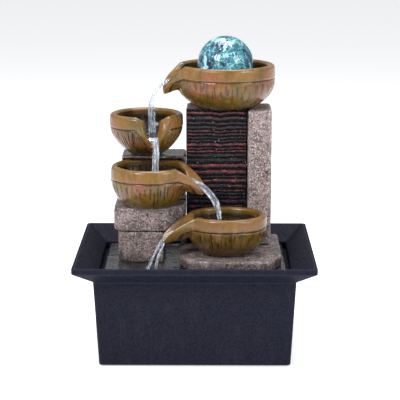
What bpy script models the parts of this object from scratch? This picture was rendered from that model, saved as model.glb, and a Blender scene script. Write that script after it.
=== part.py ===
"""Tabletop water fountain: a flared basin, a cast stone rockery that lifts out of it, four pouring
bowls, a lit glass ball that turns on the top bowl, and the pump, hose and light that drive it.

Metres, +Z up, -Y towards the viewer. The origin is the middle of the footprint, on the surface that
the rubber feet stand on."""

import math
from dataclasses import dataclass

import bmesh
import bpy
from mathutils import Matrix, Vector

MM = 0.001
GAP = 0.3 * MM  # between pieces that touch
SLIP = 0.5 * MM  # round pieces that lift out, plug in or turn

# Basin
RIM_WIDTH = 210 * MM
RIM_DEPTH = 170 * MM
BASIN_TOP = 94 * MM
LIP_HEIGHT = 5 * MM
LIP_WIDTH = 2.2 * MM
CORNER = 3.5 * MM  # radius of the basin's upright corners
FLARE = 17 * MM  # the lip stands out this far from the top of the body
FLARE_DROP = 11.5 * MM  # from the foot of the lip down to the body
TAPER = 4 * MM  # each side of the body draws in this far by the bottom
WALL = 3 * MM
FLOOR = 3 * MM
LEDGE_DROP = 20.5 * MM  # from the basin's top down to the ledge that carries the rockery
LEDGE_WIDTH = 6.5 * MM
LEDGE_THICK = 3.5 * MM

# Rubber feet
FOOT_R = 8 * MM
FOOT_HEIGHT = 2.2 * MM
FOOT_SUNK = 1.0 * MM
FOOT_INSET = 16 * MM  # from the body's lower edge to a foot's centre

# Rockery slabs and blocks
PLATE_THICK = 5.7 * MM
PLATE_MARGIN = 3.8 * MM  # between the plate and the basin's wall, where the water runs off
DRAIN_SLOTS = 4  # along the front of the plate
DRAIN_PITCH = 40 * MM
DRAIN_SIZE = (18 * MM, 4 * MM)
SLAB_THICK = 10 * MM
SLAB_X = (-14.5 * MM, 77.5 * MM)
SLAB_Y = (-44 * MM, 60.5 * MM)
SLAB_CUT = (11 * MM, 24 * MM)
TOWER_HEIGHT = 124.7 * MM
TOWER_X = (-8.6 * MM, 69 * MM)
PILLAR_WIDTH = 22 * MM
PILLAR_FRONT = 15 * MM
PANEL_FRONT = 21 * MM
PANEL_THICK = 6 * MM
PANEL_COURSES = 18
CORE_BACK = 56.8 * MM
REAR_COVER_THICK = 3.7 * MM
LOWER_BLOCK_X = (-70 * MM, -28 * MM)
LOWER_BLOCK_Y = (-10 * MM, 58 * MM)
LOWER_BLOCK_HEIGHT = 28.6 * MM
UPPER_BLOCK_X = (-73.5 * MM, TOWER_X[0] - GAP)
UPPER_BLOCK_Y = (-11 * MM, 58 * MM)
UPPER_BLOCK_HEIGHT = 21.7 * MM
COLUMN_X = (-68 * MM, TOWER_X[0] - GAP)
COLUMN_Y = (22 * MM, 60.5 * MM)
COLUMN_HEIGHT = 41 * MM
STONE_BEVEL = 1.6 * MM

# Water circuit
CIRCUIT = (27 * MM, 38 * MM)  # the upright line of spigot, hose, nozzle and ball
SHAFT_WIDTH = 26 * MM
HOSE_R = 6.2 * MM
HOSE_BORE_R = 4.4 * MM
BORE_R = 2.6 * MM
NOZZLE_FLANGE_R = 8 * MM
NOZZLE_ABOVE = 4.6 * MM  # above the bowl's floor
BARB = 14 * MM  # length of spigot or nozzle inside the hose

# Ball and the light under it
BALL_R = 25.4 * MM
BALL_OVER_LENS = 0.86 * MM  # clearance between the ball and the inner edge of the lens under it
CUP_R = 18 * MM
CUP_BORE_R = 13.8 * MM
CUP_SEAT_R = 16.58 * MM  # of the ring where the ball's seat meets the cup's top
CUP_PORTS = 6
LIGHT_R = 13 * MM
LIGHT_HEIGHT = 5 * MM
LENS_THICK = 1.2 * MM
LEAD_R = 1.5 * MM
LEAD_OFFSET = (-7.6 * MM, 7.6 * MM)  # of the light's lead from the water circuit

# Pump
PUMP_WIDTH = 38 * MM
PUMP_LENGTH = 34 * MM
PUMP_HEIGHT = 34 * MM
PUMP_AHEAD = 12 * MM  # the housing's front face is this far before the spigot
CUP_FOOT_HEIGHT = 5 * MM  # suction cups under the pump
CUP_FOOT_R = 6 * MM
CHAMBER_R = 11.5 * MM
CHAMBER_DEPTH = 13 * MM
MAGNET_R = 6.4 * MM
MAGNET_LENGTH = 15 * MM
SHAFT_R = 1.2 * MM
COVER_LENGTH = 18 * MM
COVER_WALL = 2 * MM
KNOB_R = 7 * MM
KNOB_THICK = 4 * MM
VANES = 6

# Power inlet in the back wall
INLET_X = -20 * MM
INLET_Z = 58 * MM
INLET_R = 4.6 * MM
INLET_FLANGE_R = 6.5 * MM
INLET_JACK_R = 2.8 * MM
INLET_INSIDE = 6 * MM

# Levels and faces that follow from the sizes above
BASE_Z = FOOT_HEIGHT - FOOT_SUNK + GAP
FLOOR_Z = BASE_Z + FLOOR
LIP_Z = BASIN_TOP - LIP_HEIGHT
BODY_TOP_Z = LIP_Z - FLARE_DROP
LEDGE_Z = BASIN_TOP - LEDGE_DROP
MOUTH_INSET = FLARE + WALL - 0.3 * MM
LEDGE_INSET = MOUTH_INSET + LEDGE_WIDTH
PLATE_Z = LEDGE_Z + GAP
PLATE_TOP = PLATE_Z + PLATE_THICK
PLATE_HALF_X = RIM_WIDTH / 2 - MOUTH_INSET - PLATE_MARGIN
PLATE_HALF_Y = RIM_DEPTH / 2 - MOUTH_INSET - PLATE_MARGIN
SLAB_Z = PLATE_TOP + GAP
SLAB_TOP = SLAB_Z + SLAB_THICK
TOWER_Z = SLAB_TOP + GAP
TOWER_TOP = TOWER_Z + TOWER_HEIGHT
BLOCK_Z = PLATE_TOP + GAP
UPPER_BLOCK_Z = BLOCK_Z + LOWER_BLOCK_HEIGHT + GAP
UPPER_BLOCK_TOP = UPPER_BLOCK_Z + UPPER_BLOCK_HEIGHT
COLUMN_Z = UPPER_BLOCK_TOP + GAP
COLUMN_TOP = COLUMN_Z + COLUMN_HEIGHT
PILLAR_LEFT = TOWER_X[1] - PILLAR_WIDTH
PANEL_RIGHT = PILLAR_LEFT - GAP
CORE_FRONT = PANEL_FRONT + PANEL_THICK + GAP
SHAFT_FRONT = CIRCUIT[1] - HOSE_R - 2 * SLIP
PUMP_Z = FLOOR_Z + GAP + CUP_FOOT_HEIGHT
PUMP_TOP = PUMP_Z + PUMP_HEIGHT
PUMP_FRONT = CIRCUIT[1] - PUMP_AHEAD
PUMP_BACK = PUMP_FRONT + PUMP_LENGTH
PUMP_AXIS_Z = PUMP_Z + PUMP_HEIGHT / 2
LENS_BORE_R = NOZZLE_FLANGE_R + SLIP
LENS_TOP = 2 * GAP + LIGHT_HEIGHT + LENS_THICK  # above the top bowl's floor, like the two below
BALL_LIFT = LENS_TOP + BALL_OVER_LENS + math.sqrt(BALL_R**2 - LENS_BORE_R**2)
CUP_HEIGHT = BALL_LIFT - GAP - math.sqrt((BALL_R + SLIP)**2 - CUP_SEAT_R**2)


@dataclass
class Bowl:
    """A thrown bowl with one pouring place, which lies at spout_angle and is spout_width to each side.
    The wall's outer edge drops by cut there and its inner edge by crest, each in full up to the first
    number of its span and not at all past the second, in shares of spout_width. The spout is the part
    of the wall above root, pulled out by reach and down by fall."""

    name: str
    centre: tuple
    foot_z: float
    foot_r: float
    belly_r: float
    belly_height: float
    rim_r: float
    height: float
    spout_angle: float
    spout_width: float
    reach: float
    fall: float
    crest: float
    crest_span: tuple
    cut: float
    cut_span: tuple
    root: float = 0.6
    hold: float = 0.0  # the share of the pull that the inner edge follows
    depth_ratio: float = 1.0
    fullness: float = 0.65  # lower is rounder between foot and belly
    wall: float = 6.2 * MM
    floor: float = 7 * MM

    @property
    def belly_z(self):
        return self.foot_z + self.belly_height

    @property
    def rim_z(self):
        return self.foot_z + self.height

    @property
    def floor_z(self):
        return self.foot_z + self.floor


TOP_BOWL = Bowl("top_bowl", CIRCUIT, TOWER_TOP + GAP, foot_r=24 * MM, belly_r=45 * MM,
                belly_height=23 * MM, rim_r=44.5 * MM, height=38.8 * MM,
                spout_angle=math.radians(188), spout_width=math.radians(18), reach=12 * MM,
                fall=13 * MM, crest=9 * MM, crest_span=(0.2, 0.85), cut=9 * MM, cut_span=(0.2, 0.85),
                root=0.55, hold=0.35)
NOTCHED_BOWL = Bowl("notched_bowl", (-45 * MM, 36 * MM), COLUMN_TOP + GAP, foot_r=14 * MM,
                    belly_r=33.5 * MM, belly_height=27 * MM, rim_r=33 * MM, height=37.4 * MM,
                    spout_angle=math.radians(-76), spout_width=math.radians(24), reach=2 * MM,
                    fall=0, crest=21 * MM, crest_span=(0.2, 0.75), cut=25 * MM,
                    cut_span=(0.05, 1.3), fullness=0.78)
MIDDLE_BOWL = Bowl("middle_bowl", (-41 * MM, 4 * MM), UPPER_BLOCK_TOP + GAP, foot_r=21 * MM,
                   belly_r=35.3 * MM, belly_height=25 * MM, rim_r=34 * MM, height=36.7 * MM,
                   spout_angle=math.radians(-14), spout_width=math.radians(22), reach=15 * MM,
                   fall=12.5 * MM, crest=8 * MM, crest_span=(0.2, 0.9), cut=8 * MM,
                   cut_span=(0.2, 0.9), root=0.5, hold=0.3)
LOWER_BOWL = Bowl("lower_bowl", (28 * MM, -12 * MM), SLAB_TOP + GAP, foot_r=19 * MM,
                  belly_r=36 * MM, belly_height=25 * MM, rim_r=35 * MM, height=36 * MM,
                  spout_angle=math.radians(196), spout_width=math.radians(17), reach=23 * MM,
                  fall=13 * MM, crest=7 * MM, crest_span=(0.25, 0.85), cut=7 * MM,
                  cut_span=(0.25, 0.85), root=0.6, depth_ratio=0.84)

OBJECT = bpy.data.collections.new("tabletop_fountain")
CUTTERS = bpy.data.collections.new("cutters")
FRAMES = {}


def clear_scene():
    for thing in list(bpy.data.objects):
        bpy.data.objects.remove(thing, do_unlink=True)
    for collection in (OBJECT, CUTTERS):
        bpy.context.scene.collection.children.link(collection)


def material(name, colour, roughness, metallic=0.0, alpha=1.0):
    made = bpy.data.materials.get(name) or bpy.data.materials.new(name)
    made.use_nodes = True
    shader = made.node_tree.nodes["Principled BSDF"]
    shader.inputs["Base Color"].default_value = (*colour, 1.0)
    shader.inputs["Roughness"].default_value = roughness
    shader.inputs["Metallic"].default_value = metallic
    shader.inputs["Alpha"].default_value = alpha
    return made


def finishes():
    return {
        "basin": material("basin_plastic", (0.035, 0.037, 0.055), 0.55),
        "rubber": material("black_rubber", (0.02, 0.02, 0.02), 0.8),
        "stone": material("cast_stone", (0.30, 0.25, 0.25), 0.7),
        "slate": material("wet_slate", (0.03, 0.02, 0.025), 0.25),
        "bowl": material("ochre_glaze", (0.36, 0.20, 0.06), 0.3),
        "glass": material("crackle_glass", (0.10, 0.45, 0.70), 0.1, alpha=0.6),
        "clear": material("clear_plastic", (0.85, 0.9, 0.92), 0.15, alpha=0.5),
        "pump": material("pump_plastic", (0.04, 0.045, 0.05), 0.45),
        "foam": material("filter_foam", (0.05, 0.06, 0.07), 0.95),
        "steel": material("stainless_steel", (0.6, 0.6, 0.6), 0.3, 1.0),
        "ceramic": material("white_ceramic", (0.85, 0.85, 0.83), 0.3),
        "hose": material("clear_hose", (0.75, 0.8, 0.8), 0.3, alpha=0.6),
    }


# ---- Frames and shaping helpers ----


def frame(name, location, parent=None):
    """An empty that the pieces of one moving body are parented to."""
    empty = bpy.data.objects.new(name, None)
    empty.location = location
    if parent:
        empty.parent = FRAMES[parent]
        empty.location = [a - b for a, b in zip(location, FRAMES[parent]["at"])]
    empty["at"] = location
    FRAMES[name] = empty
    bpy.context.scene.collection.objects.link(empty)


def place(thing, body, finish, smooth=False):
    """Gives a piece its finish and parents it, where it stands, to its body's frame."""
    thing.data.materials.clear()
    thing.data.materials.append(FINISH[finish])
    if smooth:
        thing.data.shade_smooth()
        thing.data.set_sharp_from_angle(angle=math.radians(35))
    thing.parent = FRAMES[body]
    thing.location = [a - b for a, b in zip(thing.location, FRAMES[body]["at"])]
    return thing


def object_from(name, mesh, location, collection=OBJECT):
    made = bpy.data.objects.new(name, mesh)
    made.location = location
    collection.objects.link(made)
    return made


def box(name, low, high, bevel=0.0, collection=OBJECT):
    """A block between two corners, with its origin in the middle of its underside."""
    size = [b - a for a, b in zip(low, high)]
    shape = bmesh.new()
    bmesh.ops.create_cube(shape, size=1.0)
    bmesh.ops.scale(shape, vec=size, verts=shape.verts)
    bmesh.ops.translate(shape, vec=(0, 0, size[2] / 2), verts=shape.verts)
    mesh = bpy.data.meshes.new(name)
    shape.to_mesh(mesh)
    shape.free()
    middle = ((low[0] + high[0]) / 2, (low[1] + high[1]) / 2, low[2])
    made = object_from(name, mesh, middle, collection)
    if bevel:
        round_edges(made, bevel)
    return made


def round_edges(thing, width, segments=2):
    modifier = thing.modifiers.new("rounded", "BEVEL")
    modifier.width = width
    modifier.segments = segments
    modifier.limit_method = "ANGLE"
    modifier.angle_limit = math.radians(40)


def prism(name, outline, thickness, location, rotation=(0, 0, 0), bevel=0.0, collection=OBJECT):
    """A flat outline, extruded upwards along its own Z."""
    curve = bpy.data.curves.new(name, "CURVE")
    curve.dimensions = "2D"
    curve.fill_mode = "BOTH"
    curve.extrude = thickness / 2
    spline = curve.splines.new("POLY")
    spline.points.add(len(outline) - 1)
    for point, (x, y) in zip(spline.points, outline):
        point.co = (x, y, 0, 1)
    spline.use_cyclic_u = True
    made = solid_from_curve(name, curve, collection)
    made.data.transform(Matrix.Translation((0, 0, thickness / 2)))
    made.location = location
    made.rotation_euler = rotation
    if bevel:
        round_edges(made, bevel)
    return made


def solid_from_curve(name, curve, collection=OBJECT):
    guide = bpy.data.objects.new(name + "_guide", curve)
    bpy.context.scene.collection.objects.link(guide)
    bpy.context.view_layer.update()
    graph = bpy.context.evaluated_depsgraph_get()
    mesh = bpy.data.meshes.new_from_object(guide.evaluated_get(graph))
    shape = bmesh.new()
    shape.from_mesh(mesh)
    bmesh.ops.remove_doubles(shape, verts=shape.verts, dist=1e-6)
    bmesh.ops.recalc_face_normals(shape, faces=shape.faces)
    if shape.calc_volume(signed=True) < 0:
        bmesh.ops.reverse_faces(shape, faces=shape.faces)
    shape.to_mesh(mesh)
    shape.free()
    mesh.name = name
    bpy.data.objects.remove(guide, do_unlink=True)
    return object_from(name, mesh, (0, 0, 0), collection)


def turned(name, profile, location, rotation=(0, 0, 0), steps=24, collection=OBJECT):
    """A turned piece: its profile runs down the outer side, from the axis at the top to the bottom."""
    mesh = bpy.data.meshes.new(name)
    edges = [(i, i + 1) for i in range(len(profile) - 1)]
    if profile[0][0] > 0:
        edges.append((len(profile) - 1, 0))
    mesh.from_pydata([(r, 0, z) for r, z in profile], edges, [])
    made = object_from(name, mesh, location, collection)
    made.rotation_euler = rotation
    screw = made.modifiers.new("turned", "SCREW")
    screw.steps = screw.render_steps = steps
    screw.use_merge_vertices = True
    screw.merge_threshold = 1e-6
    screw.use_smooth_shade = True
    return made


def drum(name, radius, z0, z1, at, steps=20, collection=OBJECT):
    """A plain upright cylinder."""
    return turned(name, [(0, z1 - z0), (radius, z1 - z0), (radius, 0), (0, 0)], (*at, z0),
                  steps=steps, collection=collection)


def cut(thing, cutter, operation="DIFFERENCE"):
    """Cuts a piece with a helper, or joins the helper to it."""
    cutter.hide_render = True
    cutter.display_type = "WIRE"
    if cutter.name in OBJECT.objects:
        OBJECT.objects.unlink(cutter)
        CUTTERS.objects.link(cutter)
    modifier = thing.modifiers.new(cutter.name, "BOOLEAN")
    modifier.operation = operation
    modifier.object = cutter
    modifier.solver = "EXACT"


def tube(name, radius, points, body, finish):
    """A lead that bends smoothly through its points."""
    curve = bpy.data.curves.new(name, "CURVE")
    curve.dimensions = "3D"
    curve.bevel_depth = radius
    curve.bevel_resolution = 2
    curve.use_fill_caps = True
    route = smooth_route(points, 3)
    spline = curve.splines.new("POLY")
    spline.points.add(len(route) - 1)
    for point, place_at in zip(spline.points, route):
        point.co = (*place_at, 1)
    return place(solid_from_curve(name, curve), body, finish, True)


def smooth_route(points, steps):
    """Points along a smooth curve through the route's own points, whatever their spacing."""
    spots = [Vector(point) for point in points]
    spans = [(b - a).length for a, b in zip(spots, spots[1:])]
    slopes = [(b - a) / span for a, b, span in zip(spots, spots[1:], spans)]
    turns = [(before * after_span + after * before_span) / (before_span + after_span)
             for before, after, before_span, after_span in zip(slopes, slopes[1:], spans, spans[1:])]
    turns = [slopes[0], *turns, slopes[-1]]
    route = []
    for start, end, span, leave, arrive in zip(spots, spots[1:], spans, turns, turns[1:]):
        for i in range(steps):
            t = i / steps
            route.append((1 + 2 * t) * (1 - t) ** 2 * start + t * t * (3 - 2 * t) * end
                         + span * (t * (1 - t) ** 2 * leave - t * t * (1 - t) * arrive))
    return route + [spots[-1]]


def rounded_rectangle(half_x, half_y, radius, arc_steps=5):
    points = []
    for corner, (sx, sy) in enumerate(((1, 1), (-1, 1), (-1, -1), (1, -1))):
        for i in range(arc_steps + 1):
            turn = math.pi / 2 * (corner + i / arc_steps)
            points.append((sx * (half_x - radius) + radius * math.cos(turn),
                           sy * (half_y - radius) + radius * math.sin(turn)))
    return points


def lofted(name, rings, location, collection=OBJECT):
    """A closed solid through rings of equal count, with a flat cap on the first and the last."""
    count = len(rings[0])
    shape = bmesh.new()
    layers = [[shape.verts.new(point) for point in ring] for ring in rings]
    shape.faces.new(reversed(layers[0]))
    for lower, upper in zip(layers, layers[1:]):
        for i in range(count):
            j = (i + 1) % count
            shape.faces.new((lower[i], lower[j], upper[j], upper[i]))
    shape.faces.new(layers[-1])
    mesh = bpy.data.meshes.new(name)
    shape.to_mesh(mesh)
    shape.free()
    return object_from(name, mesh, location, collection)


def cut_corners(x, y, front_left=(0, 0), front_right=(0, 0), back_left=(0, 0), back_right=(0, 0)):
    """A rectangle's outline, anticlockwise, with each corner cut back by its own two lengths."""
    corners = ((x[0], y[0], 1, 1, front_left, True), (x[1], y[0], -1, 1, front_right, False),
               (x[1], y[1], -1, -1, back_right, True), (x[0], y[1], 1, -1, back_left, False))
    outline = []
    for cx, cy, sx, sy, (dx, dy), along_y_first in corners:
        if not dx:
            outline.append((cx, cy))
            continue
        ends = [(cx, cy + sy * dy), (cx + sx * dx, cy)]
        outline.extend(ends if along_y_first else ends[::-1])
    return outline


# ---- Basin ----


def basin_ring(z, inset):
    return [(x, y, z) for x, y in
            rounded_rectangle(RIM_WIDTH / 2 - inset, RIM_DEPTH / 2 - inset, CORNER)]


def wall_inset(z):
    """How far inside the rim's edge the body's outer face is at a height."""
    return FLARE + TAPER * (BODY_TOP_Z - z) / (BODY_TOP_Z - BASE_Z)


def make_basin():
    edge = 0.8 * MM
    under_ledge = LEDGE_Z - LEDGE_THICK
    rings = [
        basin_ring(BASE_Z, FLARE + TAPER + edge),
        basin_ring(BASE_Z + edge, FLARE + TAPER),
        basin_ring(BODY_TOP_Z, FLARE),
        basin_ring(LIP_Z, 0.6 * MM),
        basin_ring(LIP_Z + 0.6 * MM, 0),
        basin_ring(BASIN_TOP - edge, 0),
        basin_ring(BASIN_TOP, edge),
        basin_ring(BASIN_TOP, LIP_WIDTH),
        basin_ring(BASIN_TOP - edge, LIP_WIDTH + edge),
        basin_ring(BODY_TOP_Z + 3 * MM, MOUTH_INSET),
        basin_ring(LEDGE_Z, MOUTH_INSET),
        basin_ring(LEDGE_Z, LEDGE_INSET),
        basin_ring(under_ledge, LEDGE_INSET),
        basin_ring(under_ledge - LEDGE_WIDTH + MM, wall_inset(under_ledge) + WALL),
        basin_ring(FLOOR_Z + 2 * MM, wall_inset(FLOOR_Z) + WALL),
        basin_ring(FLOOR_Z, wall_inset(FLOOR_Z) + WALL + 1.5 * MM),
    ]
    basin = lofted("basin", rings, (0, 0, 0))
    foot_x = RIM_WIDTH / 2 - FLARE - TAPER - FOOT_INSET
    foot_y = RIM_DEPTH / 2 - FLARE - TAPER - FOOT_INSET
    for side_x, across in ((-1, "left"), (1, "right")):
        for side_y, along in ((-1, "front"), (1, "rear")):
            at = (side_x * foot_x, side_y * foot_y)
            seat = drum(f"{along}_{across}_foot_seat", FOOT_R + SLIP, -MM, FOOT_HEIGHT + GAP, at,
                        collection=CUTTERS)
            cut(basin, seat)
            foot = drum(f"{along}_{across}_foot", FOOT_R, 0, FOOT_HEIGHT, at)
            place(foot, "basin_frame", "rubber", True)
    inlet_y = RIM_DEPTH / 2 - wall_inset(INLET_Z)
    hole = turned("inlet_hole", [(0, 12 * MM), (INLET_R + SLIP, 12 * MM), (INLET_R + SLIP, 0), (0, 0)],
                  (INLET_X, inlet_y - 6 * MM, INLET_Z), (-math.pi / 2, 0, 0), 20, CUTTERS)
    cut(basin, hole)
    place(basin, "basin_frame", "basin", True)
    return inlet_y


def make_inlet(wall_y):
    """The low-voltage socket in the back wall, with its flange outside and a nut inside."""
    slope = INLET_FLANGE_R * TAPER / (BODY_TOP_Z - BASE_Z)
    flange_y = wall_y + slope + GAP
    inner = wall_y - WALL - slope - GAP - INLET_INSIDE
    length = flange_y - inner
    flange = 1.8 * MM
    jack = 8 * MM
    profile = [(0, length + flange - jack), (INLET_JACK_R, length + flange - jack),
               (INLET_JACK_R, length + flange), (INLET_FLANGE_R, length + flange),
               (INLET_FLANGE_R, length), (INLET_R, length), (INLET_R, 0), (0, 0)]
    inlet = turned("power_inlet", profile, (INLET_X, inner, INLET_Z), (-math.pi / 2, 0, 0), 20)
    place(inlet, "basin_frame", "pump")
    nut_thick = 2.4 * MM
    nut_y = wall_y - WALL - slope - GAP - nut_thick
    nut_profile = [(INLET_R + GAP, nut_thick), (INLET_FLANGE_R + MM, nut_thick),
                   (INLET_FLANGE_R + MM, 0), (INLET_R + GAP, 0)]
    nut = turned("inlet_nut", nut_profile, (INLET_X, nut_y, INLET_Z), (-math.pi / 2, 0, 0), 6 * 3)
    place(nut, "basin_frame", "pump")
    return inner


# ---- Rockery ----


def hose_shaft(name, z0, z1):
    """The cutter for the upright shaft that the hose and the light's lead run through."""
    x = CIRCUIT[0]
    return box(name, (x - SHAFT_WIDTH / 2, SHAFT_FRONT, z0), (x + SHAFT_WIDTH / 2, CORE_BACK, z1),
               collection=CUTTERS)


def make_base_plate():
    outline = rounded_rectangle(PLATE_HALF_X, PLATE_HALF_Y, CORNER, 3)
    plate = prism("base_plate", outline, PLATE_THICK, (0, 0, PLATE_Z))
    cut(plate, hose_shaft("plate_shaft", PLATE_Z - MM, PLATE_TOP + MM))
    length, width = DRAIN_SIZE
    front = -PLATE_HALF_Y + LEDGE_WIDTH + SLIP
    for i in range(DRAIN_SLOTS):
        x = (i - (DRAIN_SLOTS - 1) / 2) * DRAIN_PITCH
        low = (x - length / 2, front, PLATE_Z - MM)
        high = (x + length / 2, front + width, PLATE_TOP + MM)
        cut(plate, box(f"drain_slot_{i + 1}", low, high, collection=CUTTERS))
    place(plate, "rockery_frame", "stone")


def make_right_slab():
    outline = cut_corners(SLAB_X, SLAB_Y, SLAB_CUT, SLAB_CUT)
    slab = prism("right_slab", outline, SLAB_THICK, (0, 0, SLAB_Z), bevel=STONE_BEVEL)
    cut(slab, hose_shaft("slab_shaft", SLAB_Z - MM, SLAB_TOP + MM))
    place(slab, "rockery_frame", "stone")


def make_left_blocks():
    lower = prism("left_lower_block", cut_corners(LOWER_BLOCK_X, LOWER_BLOCK_Y, (10 * MM, 8 * MM)),
                  LOWER_BLOCK_HEIGHT, (0, 0, BLOCK_Z), bevel=STONE_BEVEL)
    place(lower, "rockery_frame", "stone")
    upper = prism("left_upper_block",
                  cut_corners(UPPER_BLOCK_X, UPPER_BLOCK_Y, (6 * MM, 7 * MM), (17 * MM, 17 * MM)),
                  UPPER_BLOCK_HEIGHT, (0, 0, UPPER_BLOCK_Z), bevel=STONE_BEVEL)
    place(upper, "rockery_frame", "stone")
    column = prism("rear_left_column", cut_corners(COLUMN_X, COLUMN_Y, (7 * MM, 7 * MM)),
                   COLUMN_HEIGHT, (0, 0, COLUMN_Z), bevel=STONE_BEVEL)
    bowl = MIDDLE_BOWL
    pocket_r = bowl.belly_r + 2 * SLIP
    top = bowl.height + 2 * SLIP
    levels = [0, 0.12, 0.25, 0.4, 0.6, 0.8, 1.0]
    below = [(outer_radius(bowl, bowl.foot_z + s * bowl.belly_height) + 2 * SLIP, s * bowl.belly_height)
             for s in levels]
    profile = [(0, top), (pocket_r, top), *reversed(below), (bowl.foot_r, -5 * MM), (0, -5 * MM)]
    pocket = turned("column_pocket", profile, (*bowl.centre, bowl.foot_z), steps=32,
                    collection=CUTTERS)
    cut(column, pocket)
    place(column, "rockery_frame", "stone")


def make_tower():
    """The hollow core, the stacked slate panel in front of it, the right pillar and the rear cover."""
    core = box("tower_core", (TOWER_X[0], CORE_FRONT, TOWER_Z), (PANEL_RIGHT, CORE_BACK, TOWER_TOP))
    cut(core, hose_shaft("core_shaft", TOWER_Z - MM, TOWER_TOP + MM))
    pillar = box("right_pillar", (PILLAR_LEFT, PILLAR_FRONT, TOWER_Z),
                 (TOWER_X[1], CORE_BACK + GAP + REAR_COVER_THICK, TOWER_TOP), STONE_BEVEL)
    place(pillar, "rockery_frame", "stone")

    course = TOWER_HEIGHT / PANEL_COURSES
    outline = [(PANEL_THICK, 0)]
    for i in range(PANEL_COURSES):
        stand = 0.9 * MM * abs(math.sin(2.1 * i + 0.6))
        outline += [(stand, i * course), (stand, (i + 1) * course)]
    outline += [(PANEL_THICK, TOWER_HEIGHT)]
    panel = prism("slate_panel", outline, PANEL_RIGHT - TOWER_X[0], (TOWER_X[0], PANEL_FRONT, TOWER_Z),
                  (math.pi / 2, 0, math.pi / 2))
    place(panel, "rockery_frame", "slate")

    back = CORE_BACK + GAP
    cover = box("rear_cover", (TOWER_X[0], back, TOWER_Z),
                (PANEL_RIGHT, back + REAR_COVER_THICK, TOWER_TOP))
    screw_x = (TOWER_X[0] + 10 * MM, PANEL_RIGHT - 4 * MM)
    screw_z = (TOWER_Z + 15 * MM, TOWER_TOP - 15 * MM)
    for i, (x, z) in enumerate([(x, z) for x in screw_x for z in screw_z]):
        cover_screw(i + 1, x, z, back + REAR_COVER_THICK, core, cover)
    place(core, "rockery_frame", "stone")
    place(cover, "rockery_frame", "stone")


def cover_screw(number, x, z, face_y, core, cover):
    """One rear cover screw, and the counterbored hole that it sits in."""
    head_r, head, shank_r, length = 2.8 * MM, 1.8 * MM, 1.4 * MM, 9 * MM
    turn = (-math.pi / 2, 0, 0)
    drive = [(0, length - MM), (MM, length - MM), (MM, length)]
    profile = [*drive, (head_r, length), (head_r, length - head), (shank_r, length - head),
               (shank_r, 0), (0, 0)]
    screw = turned(f"rear_cover_screw_{number}", profile, (x, face_y - length, z), turn, 16)
    place(screw, "rockery_frame", "steel")
    wide, narrow = head_r + GAP, shank_r + GAP
    step = length - head - GAP
    hole = [(0, length + MM), (wide, length + MM), (wide, step), (narrow, step), (narrow, -GAP),
            (0, -GAP)]
    cutter = turned(f"screw_hole_{number}", hole, (x, face_y - length, z), turn, 16, CUTTERS)
    cut(core, cutter)
    cut(cover, cutter)


# ---- Bowls ----


def ramp(value, start, end):
    t = min(max((value - start) / (end - start), 0.0), 1.0)
    return t * t * (3 - 2 * t)


def outer_radius(bowl, z):
    """The plain bowl's outer radius at a height: a full belly that draws in a little to the rim."""
    if z < bowl.belly_z:
        t = max((z - bowl.foot_z) / bowl.belly_height, 0.0)
        return bowl.foot_r + (bowl.belly_r - bowl.foot_r) * math.sin(math.pi / 2 * t) ** bowl.fullness
    t = (z - bowl.belly_z) / (bowl.height - bowl.belly_height)
    return bowl.belly_r - (bowl.belly_r - bowl.rim_r) * (1 - math.cos(math.pi / 2 * t))


def inner_radius(bowl, z):
    floor_r = 0.5 * bowl.foot_r
    if z < bowl.belly_z:
        t = max((z - bowl.floor_z) / (bowl.belly_z - bowl.floor_z), 0.0)
        full = bowl.belly_r - bowl.wall
        return floor_r + (full - floor_r) * math.sin(math.pi / 2 * t) ** 0.7
    return outer_radius(bowl, z) - bowl.wall


def drop(depth, span, near):
    """How far an edge drops at a distance from the spout's middle."""
    return depth * (1 - ramp(near, *span))


def bowl_column(bowl, offset):
    """One upright line round the wall, from the foot over the rim to the floor, at an angle from the
    spout: radius, height, and the spout's reach for each point."""
    lip = bowl.wall / 2
    near = abs(offset) / bowl.spout_width
    pull = 1 - ramp(near, 0.55, 1.35)
    outer_top = bowl.rim_z - lip - drop(bowl.cut, bowl.cut_span, near)
    inner_top = bowl.rim_z - lip - drop(bowl.crest, bowl.crest_span, near)
    column = []
    for share in (0, 0.06, 0.18, 0.33, 0.5, 0.66, 0.82, 0.92, 1):
        z = bowl.foot_z + share * (outer_top - bowl.foot_z)
        column.append((outer_radius(bowl, z), z, pull * ramp(share, bowl.root, 1)))
    for turn in (0.25, 0.5, 0.75):
        across = (1 - math.cos(math.pi * turn)) / 2
        radius = outer_radius(bowl, outer_top) * (1 - across) + inner_radius(bowl, inner_top) * across
        z = outer_top * (1 - turn) + inner_top * turn + lip * math.sin(math.pi * turn)
        column.append((radius, z, pull * (1 - turn + turn * bowl.hold)))
    for share in (1, 0.8, 0.6, 0.4, 0.2, 0.06, 0):
        z = bowl.floor_z + share * (inner_top - bowl.floor_z)
        column.append((inner_radius(bowl, z), z, pull * bowl.hold * ramp(share, 0.3, 1)))
    return [(radius, z - bowl.fall * share, bowl.reach * share) for radius, z, share in column]


def make_bowl(bowl, samples=40):
    """The wall's lines stand closer together at the spout, where the rim bends most."""
    columns = []
    for i in range(samples):
        even = 2 * math.pi * i / samples - math.pi
        offset = even - 0.68 * math.sin(even)
        angle = bowl.spout_angle + offset
        columns.append([
            (r * math.cos(angle) + reach * math.cos(bowl.spout_angle),
             bowl.depth_ratio * (r * math.sin(angle) + reach * math.sin(bowl.spout_angle)),
             z - bowl.foot_z)
            for r, z, reach in bowl_column(bowl, offset)])
    rings = [list(ring) for ring in zip(*columns)]
    return lofted(bowl.name, rings, (*bowl.centre, bowl.foot_z))


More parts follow.
